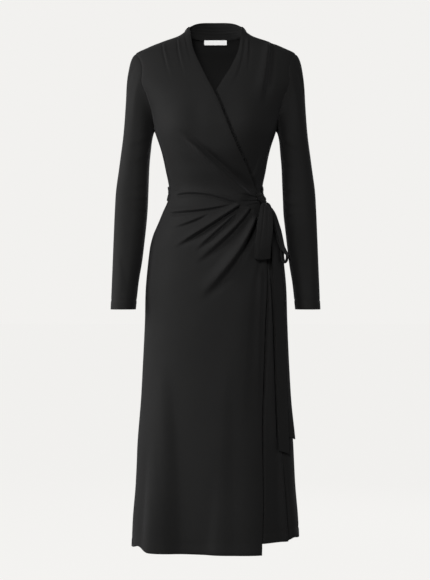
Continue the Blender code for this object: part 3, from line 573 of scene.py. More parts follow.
def form(angle, height):
    """A point of the body form; the angle is 0 at the front and 90 degrees at +X."""
    angle, height = np.broadcast_arrays(angle, height)
    half, front, back, power = ring(height)
    sine, cosine = np.sin(angle), np.cos(angle)
    reach = (np.abs(sine) ** power + np.abs(cosine) ** power) ** (1 / power)
    x = half * sine / reach
    y = -np.where(cosine > 0, front, back) * cosine / reach
    swing = np.zeros_like(x)
    for flute in FLUTES:
        away = np.degrees(angle) - flute.angle
        away = (away + 180) % 360 - 180
        swing += flute.hem_lift * bump(away / flute.width)
    drop = np.clip((FLUTE_START - height) / (FLUTE_START - HEM_OVER), 0, None)
    swing *= drop ** FLUTE_GROWTH
    radius = np.hypot(x, y)
    return np.stack([x * (1 + swing / radius), y * (1 + swing / radius), height], -1)


def outward(angle, height):
    around = form(angle + NORMAL_STEP, height) - form(angle - NORMAL_STEP, height)
    upward = form(angle, height + NORMAL_STEP) - form(angle, height - NORMAL_STEP)
    return unit(np.cross(around, upward))


def unit(vectors):
    return vectors / np.linalg.norm(vectors, axis=-1, keepdims=True)


def lay(angle, height, lift):
    return form(angle, height) + outward(angle, height) * np.asarray(lift)[..., None]


def angle_at(across, height):
    half, _, _, power = ring(height)
    share = np.clip(np.abs(across) / half, 0, 1)
    rest = (1 - share ** power) ** (1 / power)
    return np.sign(across) * np.arctan2(share, rest)


def armhole(facing):
    """Angles from the front centre, and heights, down one edge of the armhole."""
    t = np.linspace(0, np.pi, ARMHOLE_ROWS + 1)
    height = (SHOULDER_TIP + UNDERARM) / 2 + (SHOULDER_TIP - UNDERARM) / 2 * np.cos(t)
    _, front, back, power = ring(height)
    share = ARMHOLE_REACH * np.sin(t) / (front if facing == "front" else back)
    share = np.clip(share, 0, 1)
    angle = np.arctan2((1 - share ** power) ** (1 / power), share)
    return (angle if facing == "front" else np.pi - angle), height


def creased(places, creases):
    """How far the creases lift each place, which is given by two coordinates."""
    lift = np.zeros(places.shape[:-1])
    t = np.linspace(0, 1, CREASE_STEPS + 1)[:, None]
    for crease in creases:
        start, bend, end = np.array(crease[:6]).reshape(3, 2)
        line = (1 - t) ** 2 * start + 2 * t * (1 - t) * bend + t * t * end
        way = 2 * (1 - t) * (bend - start) + 2 * t * (end - bend)
        reach = 5 * abs(crease.width)
        near = ((places > line.min(0) - reach) & (places < line.max(0) + reach)).all(-1)
        away = places[near][:, None, :] - line
        nearest = (away ** 2).sum(-1).argmin(-1)
        away, way, share = away[np.arange(len(nearest)), nearest], way[nearest], t[nearest, 0]
        over = way[:, 1] * away[:, 0] - way[:, 0] * away[:, 1]
        beyond = (way * away).sum(-1) / (way ** 2).sum(-1)
        width = crease.width * (1 - CREASE_SPREAD + 2 * CREASE_SPREAD * share)
        s = over / np.linalg.norm(way, axis=-1) / width
        trough = crease.trough * bump(s / np.where(s > 0, *TROUGH_WIDTHS))
        ridge = crease.ridge * bump((s - 1) / np.where(s > 1, *RIDGE_WIDTHS))
        strength = ease(share / crease.rise) if crease.rise else 1.0
        strength = strength * (ease((1 - share) / crease.fade) if crease.fade else 1.0)
        past = np.where((share == 0) | (share == 1), beyond, 0.0)
        strength = strength * bump(past * np.linalg.norm(way, axis=-1) / np.abs(width))
        lift[near] += strength * (ridge - trough)
    return lift


def swelled(places):
    """How far the wearer's form stands out under the fronts."""
    lift = np.zeros(places.shape[:-1])
    for swell in SWELLS:
        across = (places[..., 0] - swell.x) / swell.half_width
        lift += swell.depth * bump(np.hypot(across, (places[..., 1] - swell.z) / swell.half_height))
    return lift


def raised(points):
    """Lift the hem in its troughs."""
    below = ease((RISE_REACH + HEM_OVER - points[..., 2]) / RISE_REACH)
    for rise in HEM_RISES:
        points[..., 2] += rise.depth * bump((points[..., 0] - rise.x) / rise.half_width) * below
    return points


def ripple(places, wave):
    """Four crossing waves of uneven pace, the same on each run."""
    x, z = places[..., 0] / wave.scale, places[..., 1] / wave.scale
    total = np.sin(1.7 * x + 0.9 * z + wave.turn)
    total += 0.7 * np.sin(-1.1 * x + 1.9 * z + 2.1 * wave.turn)
    total += 0.6 * np.sin(2.9 * x - 0.7 * z + 3.3 * wave.turn)
    total += 0.4 * np.sin(3.7 * z + 1.3 * x + wave.turn)
    return wave.depth * total / (1 + 0.7 + 0.6 + 0.4)


# ---- making cloth ----------------------------------------------------------------------
def rows_of(stations):
    """Heights of each row at the seam and at the edge, and its droop between them."""
    counts = column(stations, "rows")[:-1]
    at = np.arange(counts.sum() + 1)
    knots = np.concatenate([[0], np.cumsum(counts)])
    return [np.interp(at, knots, column(stations, name)) for name in ("seam", "edge", "droop")]


def front_grid(stations, columns, edge_table, trim):
    seam, edge, droop = rows_of(stations)
    side = np.full_like(seam, np.pi / 2)
    side[:ARMHOLE_ROWS + 1], seam[:ARMHOLE_ROWS + 1] = armhole("front")
    across = smooth(edge, column(edge_table, "height"), column(edge_table, "across"))
    across = across - trim * ease((EDGE_TRIM_START - edge) / EDGE_TRIM_REACH)
    far = -angle_at(across, edge)
    share = 1 - (1 - np.linspace(0, 1, columns + 1)[None, :]) ** EDGE_CROWDING
    angle = side[:, None] + (far - side)[:, None] * share
    droop = droop[:, None]
    fall = (1 - share + EDGE_SOFT) ** droop - EDGE_SOFT ** droop
    fall /= (1 + EDGE_SOFT) ** droop - EDGE_SOFT ** droop
    height = edge[:, None] + (seam - edge)[:, None] * fall
    return angle, height, share


def back_grid():
    shoulder = np.linspace(SHOULDER_TIP, COLLAR_FOOT_HEIGHT, BACK_SHOULDER_COLUMNS + 1)
    shoulder_across = ring(shoulder)[0]
    neck = np.linspace(1, -1, BACK_NECK_COLUMNS + 1)[1:-1]
    neck_height = COLLAR_BACK_FOOT + (COLLAR_FOOT_HEIGHT - COLLAR_BACK_FOOT) * neck ** 2
    top = np.concatenate([shoulder, neck_height, shoulder[::-1]])
    across = np.concatenate([shoulder_across, COLLAR_FOOT * neck, -shoulder_across[::-1]])
    side_angle, side_height = armhole("back")
    fall = (side_height - SHOULDER_TIP) / (UNDERARM - SHOULDER_TIP)
    arm_across = form(side_angle, side_height)[:, 0]
    height = top + (UNDERARM - top) * fall[:, None]
    reach = across * (arm_across / across[0])[:, None]
    angle = np.pi - angle_at(reach, height)
    right, left, _ = rows_of(BACK_ROWS)
    blend = np.linspace(0, 1, height.shape[1])
    below = left[1:, None] + (right - left)[1:, None] * blend
    angle = np.vstack([angle, np.repeat(angle[-1:], len(below), axis=0)])
    return angle, np.vstack([height, below])


def grid_normals(points, tube=False):
    """Directions across a grid of points; a tube's last column is its first."""
    along = np.gradient(points, axis=0)
    if tube:
        open_ring = points[:, :-1]
        around = np.roll(open_ring, -1, axis=1) - np.roll(open_ring, 1, axis=1)
        around = np.concatenate([around, around[:, :1]], axis=1)
    else:
        around = np.gradient(points, axis=1)
    return unit(np.cross(around, along))


def lengths(points, axis):
    """The distance along each line of a grid, from its start."""
    steps = np.linalg.norm(np.diff(points, axis=axis), axis=-1)
    start = np.zeros_like(steps.take([0], axis=axis))
    return np.concatenate([start, np.cumsum(steps, axis=axis)], axis=axis)


def settings():
    scene = bpy.context.scene
    return scene.dress_sizes, scene.dress_colours, scene.studio


def sew(name, points, out, finish, wall, tube=False, offset=-1.0, rim_width=0.0004):
    """Lay a grid on the points of a piece, give it its wall and soften its rims."""
    rows, columns = points.shape[:2]
    bpy.ops.object.select_all(action="DESELECT")
    bpy.ops.mesh.primitive_grid_add(x_subdivisions=columns - 1, y_subdivisions=rows - 1, size=1)
    piece = bpy.context.object
    piece.name = piece.data.name = name
    mesh = piece.data
    if len(mesh.vertices) != rows * columns:
        raise RuntimeError(f"{name}: the grid has {len(mesh.vertices)} points")
    mesh.vertices.foreach_set("co", points.reshape(-1))
    flat = np.stack([lengths(points, 1), lengths(points, 0)], -1).reshape(-1, 2)
    corners = np.empty(len(mesh.loops), dtype=np.int32)
    mesh.loops.foreach_get("vertex_index", corners)
    mesh.uv_layers[0].uv.foreach_set("vector", flat[corners].reshape(-1))
    mesh.update()
    facing = np.empty(rows * columns * 3)
    mesh.vertices.foreach_get("normal", facing)
    bm = bmesh.new()
    bm.from_mesh(mesh)
    if tube:
        bmesh.ops.remove_doubles(bm, verts=bm.verts, dist=1e-6)
    if (facing.reshape(-1, 3) * out.reshape(-1, 3)).sum() < 0:
        bmesh.ops.reverse_faces(bm, faces=bm.faces)
    bm.to_mesh(mesh)
    bm.free()
    mesh.materials.append(finish)
    solid = piece.modifiers.new("Wall", "SOLIDIFY")
    solid.thickness = wall
    solid.offset = offset
    bpy.ops.object.modifier_apply(modifier=solid.name)
    rim = piece.modifiers.new("Rim", "BEVEL")
    rim.limit_method = "ANGLE"
    rim.angle_limit = math.radians(60)
    rim.width = rim_width
    rim.segments = 2
    bpy.ops.object.modifier_apply(modifier=rim.name)
    bpy.ops.object.shade_smooth()
    return piece


def cut_of(points):
    """Width and length of the cloth that a grid of points takes up."""
    return float(lengths(points, 1)[:, -1].max()), float(lengths(points, 0)[-1].max())


def strip_of(points, axis):
    """The tie's cut width, and the length along the middle of its grid of points."""
    ends = lengths(points, axis).take(-1, axis=axis)
    return TIE_WIDTH, float(ends[len(ends) // 2])


def hand_over(piece, node, flat):
    """Ride on the frame and stand for the node. The flat cut that it is given is not used."""
    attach(piece, "root")
    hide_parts(node)


def hem_relief(below_edge, hem):
    """A turned hem stands a little proud, with a stitched dip at its top."""
    turned = HEM_STAND * ease((hem - below_edge) / HEM_STAND_REACH)
    return turned - STITCH_DIP * bump((below_edge - hem) / STITCH_DIP_WIDTH)


# ---- the panels --------------------------------------------------------------------------
def front_points(own_side, stations, columns, edge_table, trim, creases, lap, wave):
    sizes = settings()[0]
    own_angle, height, share = front_grid(stations, columns, edge_table, trim)
    angle = own_angle * own_side
    flat = form(angle, height)
    places = flat[..., [0, 2]]
    folds = creased(places, creases) * sizes.fold_depth + ripple(places, wave)
    around, down = lengths(flat, 1), lengths(flat, 0)
    folds *= SHOULDER_FOLD_SHARE + (1 - SHOULDER_FOLD_SHARE) * ease(down / SHOULDER_HOLD)
    from_seam = ease(share / SEAM_REACH)
    lift = lap(own_angle, places) * from_seam
    lift += swelled(places) * ease(share / SWELL_REACH)
    lift -= SEAM_DIP * bump(around / SEAM_DIP_WIDTH)
    lift += hem_relief(down[-1:] - down, sizes.hem)
    lift -= EDGE_ROLL * bump((around[:, -1:] - around) / EDGE_ROLL_WIDTH)
    out = outward(angle, height)
    forward = unit(out + [0, -FOLDS_FORWARD, 0])
    points = flat + out * lift[..., None] + forward * (folds * from_seam)[..., None]
    points[..., 1] = np.minimum(points[..., 1], FRONT_LIMIT)
    return raised(points), out


def over_lap(own_angle, places):
    return LAP * ease((LAP_START - np.degrees(own_angle)) / LAP_REACH)


def under_lap(own_angle, places):
    """The covered part of the under front sinks behind the folds of the over front."""
    edge = smooth(places[..., 1], column(OVER_EDGE, "height"), column(OVER_EDGE, "across"))
    covered = edge - places[..., 0]
    gap = GAP_WIDTH + SKIRT_GAP_MORE * ease((SKIRT_GAP_START - places[..., 1]) / SKIRT_GAP_REACH)
    tuck = TUCK * ease((covered - TUCK_START) / TUCK_REACH)
    return -tuck - GAP_DEPTH * bump((covered + GAP_AWAY) / gap)


class DRESS_OT_fronts(bpy.types.Operator):
    """Cut the two fronts, pleat them at the shoulders and gather them at the knot"""
    bl_idname = "dress.fronts"
    bl_label = "Fronts"

    def execute(self, context):
        sizes = context.scene.dress_sizes
        over, over_out = front_points(-1, OVER_ROWS, OVER_COLUMNS, OVER_EDGE, EDGE_TRIM,
                                      OVER_CREASES, over_lap, OVER_WAVE)
        under, under_out = front_points(1, UNDER_ROWS, UNDER_COLUMNS, UNDER_EDGE, 0.0,
                                        UNDER_CREASES, under_lap, UNDER_WAVE)
        jersey = jersey_material()
        right = sew("Right_Front_Cloth", over, over_out, jersey, sizes.cloth)
        hand_over(right, "right_front", (0.45, 1.28))
        left = sew("Left_Front_Cloth", under, under_out, jersey, sizes.cloth)
        hand_over(left, "left_front", (0.42, 1.25))
        return {"FINISHED"}


class DRESS_OT_back(bpy.types.Operator):
    """Cut the back and gather it a little under the belt"""
    bl_idname = "dress.back"
    bl_label = "Back"

    def execute(self, context):
        sizes = context.scene.dress_sizes
        angle, height = back_grid()
        flat = form(angle, height)
        places = np.stack([-flat[..., 0], flat[..., 2]], -1)
        folds = creased(places, BACK_CREASES) * sizes.fold_depth
        folds += ripple(places, BACK_WAVE)
        beside_belt = np.minimum(np.abs(height - BELT_TOP), np.abs(height - BELT_BOTTOM))
        under_belt = (height < BELT_TOP) & (height > BELT_BOTTOM)
        beside_belt = np.where(under_belt, 0.0, beside_belt)
        folds *= ease(beside_belt / BELT_HOLD)
        around = lengths(flat, 1)
        from_side = np.minimum(around, around[:, -1:] - around)
        folds *= ease(from_side / SIDE_HOLD)
        folds -= SEAM_DIP * bump(from_side / SEAM_DIP_WIDTH)
        down = lengths(flat, 0)
        folds *= ease(down / NECK_HOLD)
        folds += hem_relief(down[-1:] - down, sizes.hem)
        out = outward(angle, height)
        points = flat + out * folds[..., None]
        points[..., 1] = np.maximum(points[..., 1], BACK_LIMIT)
        points = raised(points)
        piece = sew("Back_Cloth", points, out, jersey_material(), sizes.cloth)
        hand_over(piece, "back", (0.56, 1.26))
        return {"FINISHED"}


def arm_ring(height, turn):
    heights = column(ARM, "height")[::-1]
    outer, inner, front_reach, back_reach = (
        smooth(height, heights, column(ARM, name)[::-1]) for name in Arm._fields[1:])
    sine, cosine = np.sin(turn), np.cos(turn)
    depth = np.where(sine > 0, front_reach, back_reach)
    x = (outer + inner) / 2 + (outer - inner) / 2 * np.sign(cosine) * np.abs(cosine) ** ARM_SQUARENESS
    y = -depth * np.sign(sine) * np.abs(sine) ** ARM_SQUARENESS
    return np.stack([x, y, height + 0 * turn], -1)


def sleeve_points(own_side, creases, wave):
    front_angle, height = armhole("front")
    back_angle, _ = armhole("back")
    heights = np.concatenate([height, height[-2::-1]])
    start = form(np.concatenate([front_angle, back_angle[-2::-1]]), heights)
    inside = np.concatenate([front_angle - ALLOWANCE_ANGLE, back_angle[-2::-1] + ALLOWANCE_ANGLE])
    allowance = lay(inside, heights, np.full_like(heights, -ALLOWANCE_DEPTH))
    turn = np.linspace(0, 2 * np.pi, len(start))
    first = ARM[0].height
    end = arm_ring(np.full_like(turn, first), turn)
    leave = start - start[:-1].mean(axis=0)
    leave[:, 0] = 0
    flare = CAP_FLARE - CAP_TOP_FLARE * (0.5 + 0.5 * np.cos(turn)) ** 3
    leave *= flare[:, None] / np.linalg.norm(leave, axis=1, keepdims=True)
    leave[:, 0] = 1
    span = np.linalg.norm(end - start, axis=1, keepdims=True)
    near = start + CAP_LEAVE * span * leave
    arrive = end - arm_ring(np.full_like(turn, first - CAP_TANGENT), turn)
    far = end + CAP_ARRIVE * span * arrive / CAP_TANGENT
    rings = [allowance, allowance * (1 - ALLOWANCE_ROW) + start * ALLOWANCE_ROW]
    for t in np.linspace(0, 1, CAP_ROWS + 1) ** CAP_CROWDING:
        rings.append((1 - t) ** 3 * start + 3 * t * (1 - t) ** 2 * near
                     + 3 * t * t * (1 - t) * far + t ** 3 * end)
    for level in np.linspace(first, ARM[-1].height, ARM_ROWS + 1)[1:]:
        rings.append(arm_ring(np.full_like(turn, level), turn))
    points = np.array(rings)
    round_arm = ARM_GIRTH * turn / (2 * np.pi)
    places = np.stack([round_arm + 0 * points[..., 2], points[..., 2]], -1)
    lift = creased(places, creases) + creased(places - [ARM_GIRTH, 0], creases)
    lift += ripple(places, wave) * np.sin(turn / 2) ** 2
    down = lengths(points, 0)
    from_seam = down - down[2]
    lift *= ease(from_seam / SLEEVE_HOLD)
    lift -= SLEEVE_SEAM_DIP * bump(from_seam / SLEEVE_SEAM_DIP_WIDTH)
    lift += hem_relief(down[-1:] - down, settings()[0].hem)
    points[..., 0] *= own_side
    out = grid_normals(points, tube=True) * own_side
    return points + out * lift[..., None], out


class DRESS_OT_sleeves(bpy.types.Operator):
    """Set the two sleeves in their armholes"""
    bl_idname = "dress.sleeves"
    bl_label = "Sleeves"

    def execute(self, context):
        sizes = context.scene.dress_sizes
        for name, node, side, creases, wave in (
                ("Right_Sleeve_Cloth", "sleeve_right", -1, RIGHT_SLEEVE_CREASES, RIGHT_SLEEVE_WAVE),
                ("Left_Sleeve_Cloth", "sleeve_left", 1, LEFT_SLEEVE_CREASES, LEFT_SLEEVE_WAVE)):
            points, out = sleeve_points(side, creases, wave)
            piece = sew(name, points, out, jersey_material(), sizes.cloth, tube=True)
            hand_over(piece, node, (0.30, 0.61))
        return {"FINISHED"}


class DRESS_OT_neck(bpy.types.Operator):
    """Stand the neck band up round the back of the neck and lay the label below it"""
    bl_idname = "dress.neck"
    bl_label = "Neck band and label"

    def execute(self, context):
        sizes = context.scene.dress_sizes
        share = np.linspace(1, -1, COLLAR_COLUMNS + 1)
        foot_height = COLLAR_BACK_FOOT + (COLLAR_FOOT_HEIGHT - COLLAR_BACK_FOOT) * share ** 2
        foot = form(np.pi - angle_at(COLLAR_FOOT * share, foot_height), foot_height)
        depth = (1 - np.abs(share) ** COLLAR_ROUNDNESS) ** (1 / COLLAR_ROUNDNESS)
        drop = np.abs(share) ** COLLAR_FLATNESS
        rim = np.stack([NECK_SIDE * share, COLLAR_BACK_DEPTH * depth,
                        COLLAR_BACK_TOP - (COLLAR_BACK_TOP - NECK_SIDE_TOP) * drop], -1)
        tuck_height = foot_height - COLLAR_TUCK
        tucked = lay(np.pi - angle_at(COLLAR_FOOT * share, tuck_height), tuck_height,
                     np.full_like(share, -COLLAR_TUCK_DEPTH))
        second = (1 - ALLOWANCE_ROW) * tucked + ALLOWANCE_ROW * foot
        t = np.linspace(0, 1, COLLAR_ROWS + 1)[:, None, None]
        points = np.concatenate([tucked[None], second[None], foot + (rim - foot) * t])
        t = np.concatenate([[[[0]], [[0]]], t])
        out = grid_normals(points)
        away = points * [1, 1, 0]
        out *= np.sign((out * away).sum(-1, keepdims=True).mean())
        t = t[..., 0]
        lift = COLLAR_SWELL * np.sin(np.pi * t) - SEAM_DIP * bump(t / COLLAR_SEAM_WIDTH)
        lift = lift + ripple(points[..., [0, 2]], COLLAR_WAVE)
        lift = lift + NECK_TUCK * np.sin(2 * np.pi * NECK_TUCKS * t) * ease(t / 0.2)
        points = points + out * lift[..., None]
        piece = sew("Neck_Band_Cloth", points, out, jersey_material(),
                    sizes.cloth * COLLAR_LAYERS)
        hand_over(piece, "neck_band", cut_of(points))
        self.label(foot_height.min())
        return {"FINISHED"}

    def label(self, seam):
        across = np.linspace(LABEL_HALF_WIDTH, -LABEL_HALF_WIDTH, 41)
        height = np.linspace(seam + LABEL_TOP, seam - LABEL_DROP, 21)[:, None]
        angle = np.pi - angle_at(across, height)
        depth = LABEL_INWARD + LABEL_WAVE * np.sin(3 * np.pi * across / LABEL_HALF_WIDTH)
        points = lay(angle, height, -depth - LABEL_LEAN * ease((seam - height) / LABEL_DROP))
        out = -outward(angle, height)
        piece = sew("Neck_Label_Tape", points, out, label_material(), LABEL_CLOTH,
                    rim_width=LABEL_RIM)
        hand_over(piece, "neck_label", cut_of(points))
        inside = bpy.data.collections.new("Inside the Neck")
        inside.objects.link(piece)
        bpy.data.objects["Label_Lamp"].light_linking.receiver_collection = inside


# ---- the tie -------------------------------------------------------------------------------
def along(table, steps):
    t = np.linspace(0, 1, steps + 1)
    knots = np.linspace(0, 1, len(table))
    return [smooth(t, knots, column(table, name)) for name in table[0]._fields]


def gathered(across, t, count, depth, reach):
    """Small pleats across a strip where it leaves the knot."""
    return depth * np.cos(np.pi * count * across) * bump(t / reach)


class DRESS_OT_tie(bpy.types.Operator):
    """Take the tie round the back of the waist and hang its loops and ends"""
    bl_idname = "dress.tie"
    bl_label = "Tie and bow"

    def execute(self, context):
        self.belt(context)
        self.ends(context)
        self.loops(context)
        return {"FINISHED"}

    def belt(self, context):
        sizes = context.scene.dress_sizes
        angle = np.radians(np.linspace(*BELT_SPAN, BELT_POINTS))
        share = np.linspace(0, 1, BELT_ROWS)[:, None]
        near_knot = ease((np.radians(BELT_END_START) - angle) / np.radians(BELT_END_REACH))
        closing = BELT_END_TAPER * near_knot
        height = BELT_TOP + (BELT_BOTTOM - BELT_TOP) * (closing + (1 - 2 * closing) * share)
        arc = np.degrees(angle) * BELT_ARC
        places = np.stack([arc + 0 * share, height], -1)
        lift = BELT_LIFT + BELT_END_RISE * near_knot + 0 * share
        for groove in BELT_GROOVES:
            line = groove.level + 0.10 * np.sin(groove.sway * np.degrees(angle) / 17)
            lift = lift - groove.depth * bump((share - line) / BELT_GROOVE_WIDTH)
        lift = lift + ripple(places, BELT_WAVE) - BELT_ROLL * (2 * share - 1) ** 6
        points = lay(angle + 0 * share, height, lift)
        out = outward(angle + 0 * share, height)
        piece = sew("Tie_Belt_Cloth", points, out, jersey_material(), sizes.tie_cloth)
        hand_over(piece, "tie_belt", strip_of(points, 1))

    def ends(self, context):
        sizes = context.scene.dress_sizes
        for name, node, table, sway in (
                ("Tie_End_Front_Cloth", "tie_end_front", END_FRONT, 0.6),
                ("Tie_End_Side_Cloth", "tie_end_side", END_SIDE, 2.2)):
            height, lift, width, angle, turn = (row[:, None] for row in along(table, END_STEPS))
            middle = np.radians(angle)
            radius = np.linalg.norm(form(middle, height)[..., :2], axis=-1)
            across = np.linspace(1, -1, 17)
            t = np.linspace(0, 1, len(angle))[:, None]
            angles = middle + END_WIDENING * width / 2 / radius * across
            heights = height - END_SLANT * across * ease((t - 0.8) / 0.2)
            wave = 0.0008 * np.sin(9 * t + sway + 1.4 * across)
            wave += 0.0006 * np.cos(2.2 * across + 5 * t)
            groove = 0.0012 * bump((across + 0.2) / 0.2) * bump((t - 0.15) / 0.3)
            lifts = lift + gathered(across, t, 2.5, 0.0016, 0.10) + wave - groove
            lifts = lifts + turn * width / 2 * across
            points = lay(angles, heights, lifts)
            piece = sew(name, points, outward(angles, heights), jersey_material(),
                        sizes.tie_cloth)
            hand_over(piece, node, strip_of(points, 0))

    def loops(self, context):
        across, height, clear, width = along(LOOP_FRONT, LOOP_STEPS)
        front = form(angle_at(across, height), height)
        front[:, 1] = form(angle_at(across - width / 2, height), height)[:, 1] - clear
        way = np.array(LOOP_FRONT_WAY) + 0 * front
        self.loop(context, "Bow_Loop_Front_Cloth", "bow_loop_front", front, width, way, 1)
        *side, width, wide_open = along(LOOP_SIDE, LOOP_STEPS)
        side = np.stack(side, -1)
        way = LOOP_SIDE_WAY + wide_open[:, None] * LOOP_SIDE_OPEN
        self.loop(context, "Bow_Loop_Side_Cloth", "bow_loop_side", side, width, way, 0.4)

    def loop(self, context, name, node, middle, width, way, softness):
        sizes = context.scene.dress_sizes
        way = unit(way)
        normal = unit(np.cross(np.gradient(middle, axis=0), way))
        across = np.linspace(1, -1, 33)
        t = np.linspace(0, 1, len(middle))[:, None]
        from_knot = np.minimum(t, 1 - t)
        bottom = bump((t - 0.5) / 0.12)
        lift = 0.0011 * np.cos(2.5 * np.pi * across + 0.6) * bump(from_knot / 0.10)
        for pleat in LOOP_PLEATS:
            line = pleat.place * (0.55 + 1.1 * from_knot)
            fold = bump((across - line) / pleat.width) * bump(from_knot / pleat.reach)
            lift = lift - pleat.depth * fold
        lift = lift * softness + 0.0006 * np.sin(6 * t + 1.2 * across) - 0.0010 * across ** 2
        points = middle[:, None] + way[:, None] * (width[:, None, None] / 2 * across[:, None])
        points = points + normal[:, None] * lift[..., None]
        points[..., 2] += softness * bottom * (0.0075 * across ** 4 + 0.0012 * across)
        points[..., 2] -= softness * LOOP_SHOULDER * across ** 2 * bump(t / 0.05)
        out = normal[:, None] + 0 * points
        piece = sew(name, points, out, jersey_material(), sizes.tie_cloth, offset=0.0)
        hand_over(piece, node, strip_of(points, 0))


class DRESS_OT_knot(bpy.types.Operator):
    """Wrap the knot of the bow"""
    bl_idname = "dress.knot"
    bl_label = "Knot"

    def execute(self, context):
        angle, height = np.radians(KNOT_ANGLE), np.array(KNOT_HEIGHT)
        middle = lay(angle, height, np.array(KNOT_LIFT))
        out = outward(angle, height)
        level = unit(np.cross(out, [0, 0, 1.0]))
        rise = np.cross(level, out)
        tilt = np.radians(KNOT_TILT)
        side = level * np.cos(tilt) + rise * np.sin(tilt)
        up = rise * np.cos(tilt) - level * np.sin(tilt)
        bpy.ops.object.select_all(action="DESELECT")
        bpy.ops.mesh.primitive_uv_sphere_add(segments=72, ring_count=48, radius=1)
        piece = context.object
        piece.name = piece.data.name = "Tie_Knot_Cloth"
        mesh = piece.data
        ball = np.empty(len(mesh.vertices) * 3)
        mesh.vertices.foreach_get("co", ball)
        long, deep, high = ball.reshape(-1, 3)[:, [2, 1, 0]].T
        turn = np.arctan2(high, deep)
        across = long + 0.10 * np.sin(turn + 0.6)
        radius = 1 - sum(dip.depth * bump((across - dip.place) / dip.width) for dip in KNOT_DIPS)
        radius *= 1 + 0.05 * np.sin(3 * turn + 4 * long)
        long, deep, high = (np.sign(way) * np.abs(way) ** KNOT_FULLNESS for way in (long, deep, high))
        half_length, half_depth, half_height = KNOT_SIZE
        points = (middle + np.outer(long * half_length, side)
                  + np.outer(deep * radius * half_depth, out)
                  + np.outer(high * radius * half_height, up))
        mesh.vertices.foreach_set("co", points.reshape(-1))
        mesh.update()
        bm = bmesh.new()
        bm.from_mesh(mesh)
        bmesh.ops.recalc_face_normals(bm, faces=bm.faces)
        bm.to_mesh(mesh)
        bm.free()
        uv = mesh.uv_layers[0].uv
        places = np.empty(len(uv) * 2)
        uv.foreach_get("vector", places)
        uv.foreach_set("vector", places * np.tile([0.075, 0.055], len(uv)))
        mesh.materials.append(jersey_material())
        bpy.ops.object.shade_smooth()
        hand_over(piece, "tie_knot", None)
        return {"FINISHED"}


# ---- finishes ------------------------------------------------------------------------------
STITCH_SLANT = 1.4
STITCH_ROUNDNESS = 0.7
# How much of the yarn's change of colour is a painted highlight on the stitch tops; the rest is
# cloudy tone that varies at random.
STITCH_HIGHLIGHT_SHARE = 0.45
# The yarn is at least this rough, and rougher where it is cloudy.
SMOOTHEST = 0.70
ROUGHER = 0.16
# Threads of the label's tape, in radians a metre.
WARP_PACE = 9000.0
WEFT_PACE = 7000.0


def wire(tree, source, target):
    tree.links.new(source, target)


def maths(tree, operation, *values):
    node = tree.nodes.new("ShaderNodeMath")
    node.operation = operation
    for socket, value in zip(node.inputs, values):
        if hasattr(value, "links"):
            wire(tree, value, socket)
        else:
            socket.default_value = value
    return node.outputs[0]


def times(tree, first, second):
    return maths(tree, "MULTIPLY", first, second)


def half_wave(tree, value):
    """One hump of a sine while the value goes from 0 to 1."""
    return maths(tree, "SINE", times(tree, value, math.pi))


def mixed(tree, share, low, high, target):
    """Colour the target between two colours by a share of 0 to 1."""
    mix = tree.nodes.new("ShaderNodeMix")
    mix.data_type = "RGBA"
    mix.inputs[6].default_value = (*low, 1)
    mix.inputs[7].default_value = (*high, 1)
    wire(tree, share, mix.inputs[0])
    wire(tree, mix.outputs[2], target)


def embossed(tree, height, shader, strength, distance):
    """Let the light fall on the shader as on a fine relief."""
    relief = tree.nodes.new("ShaderNodeBump")
    relief.inputs["Strength"].default_value = strength
    relief.inputs["Distance"].default_value = distance
    wire(tree, height, relief.inputs["Height"])
    wire(tree, relief.outputs["Normal"], shader.inputs["Normal"])


def sockets(group, ins, outs):
    for name, kind, value in ins:
        socket = group.interface.new_socket(name=name, in_out="INPUT", socket_type=kind)
        if value is not None:
            socket.default_value = value
    for name, kind in outs:
        group.interface.new_socket(name=name, in_out="OUTPUT", socket_type=kind)


def stitch_group():
    """Interlocked stitches from a flat map in metres: their relief, and their tops, which the jersey
    uses as the mask of a painted highlight.
    """
    group = bpy.data.node_groups.get("Knit Stitches")
    if group:
        return group
    group = bpy.data.node_groups.new("Knit Stitches", "ShaderNodeTree")
    sockets(group,
            [("Flat Map", "NodeSocketVector", None), ("Wale", "NodeSocketFloat", 0.0009),
             ("Course", "NodeSocketFloat", 0.0007), ("Depth", "NodeSocketFloat", 0.5)],
            [("Height", "NodeSocketFloat"), ("Tops", "NodeSocketFloat"),
             ("Cloudiness", "NodeSocketFloat")])
    enter = group.nodes.new("NodeGroupInput")
    leave = group.nodes.new("NodeGroupOutput")
    split = group.nodes.new("ShaderNodeSeparateXYZ")
    wire(group, enter.outputs["Flat Map"], split.inputs[0])
    wale = maths(group, "FRACT", maths(group, "DIVIDE", split.outputs[0], enter.outputs["Wale"]))
    slant = maths(group, "ABSOLUTE", maths(group, "SUBTRACT", wale, 0.5))
    course = maths(group, "DIVIDE", split.outputs[1], enter.outputs["Course"])
    course = maths(group, "FRACT", maths(group, "ADD", course, times(group, slant, STITCH_SLANT)))
    loop = half_wave(group, course)
    top = times(group, half_wave(group, wale), STITCH_ROUNDNESS)
    height = times(group, loop, maths(group, "ADD", top, 1 - STITCH_ROUNDNESS))
    wire(group, times(group, height, enter.outputs["Depth"]), leave.inputs["Height"])
    wire(group, height, leave.inputs["Tops"])
    cloud = group.nodes.new("ShaderNodeTexNoise")
    cloud.inputs["Scale"].default_value = 16.0
    cloud.inputs["Detail"].default_value = 5.0
    wire(group, enter.outputs["Flat Map"], cloud.inputs["Vector"])
    wire(group, cloud.outputs["Fac"], leave.inputs["Cloudiness"])
    return group


def shader_of(name):
    made = bpy.data.materials.new(name)
    made.use_nodes = True
    return made, made.node_tree, made.node_tree.nodes["Principled BSDF"]


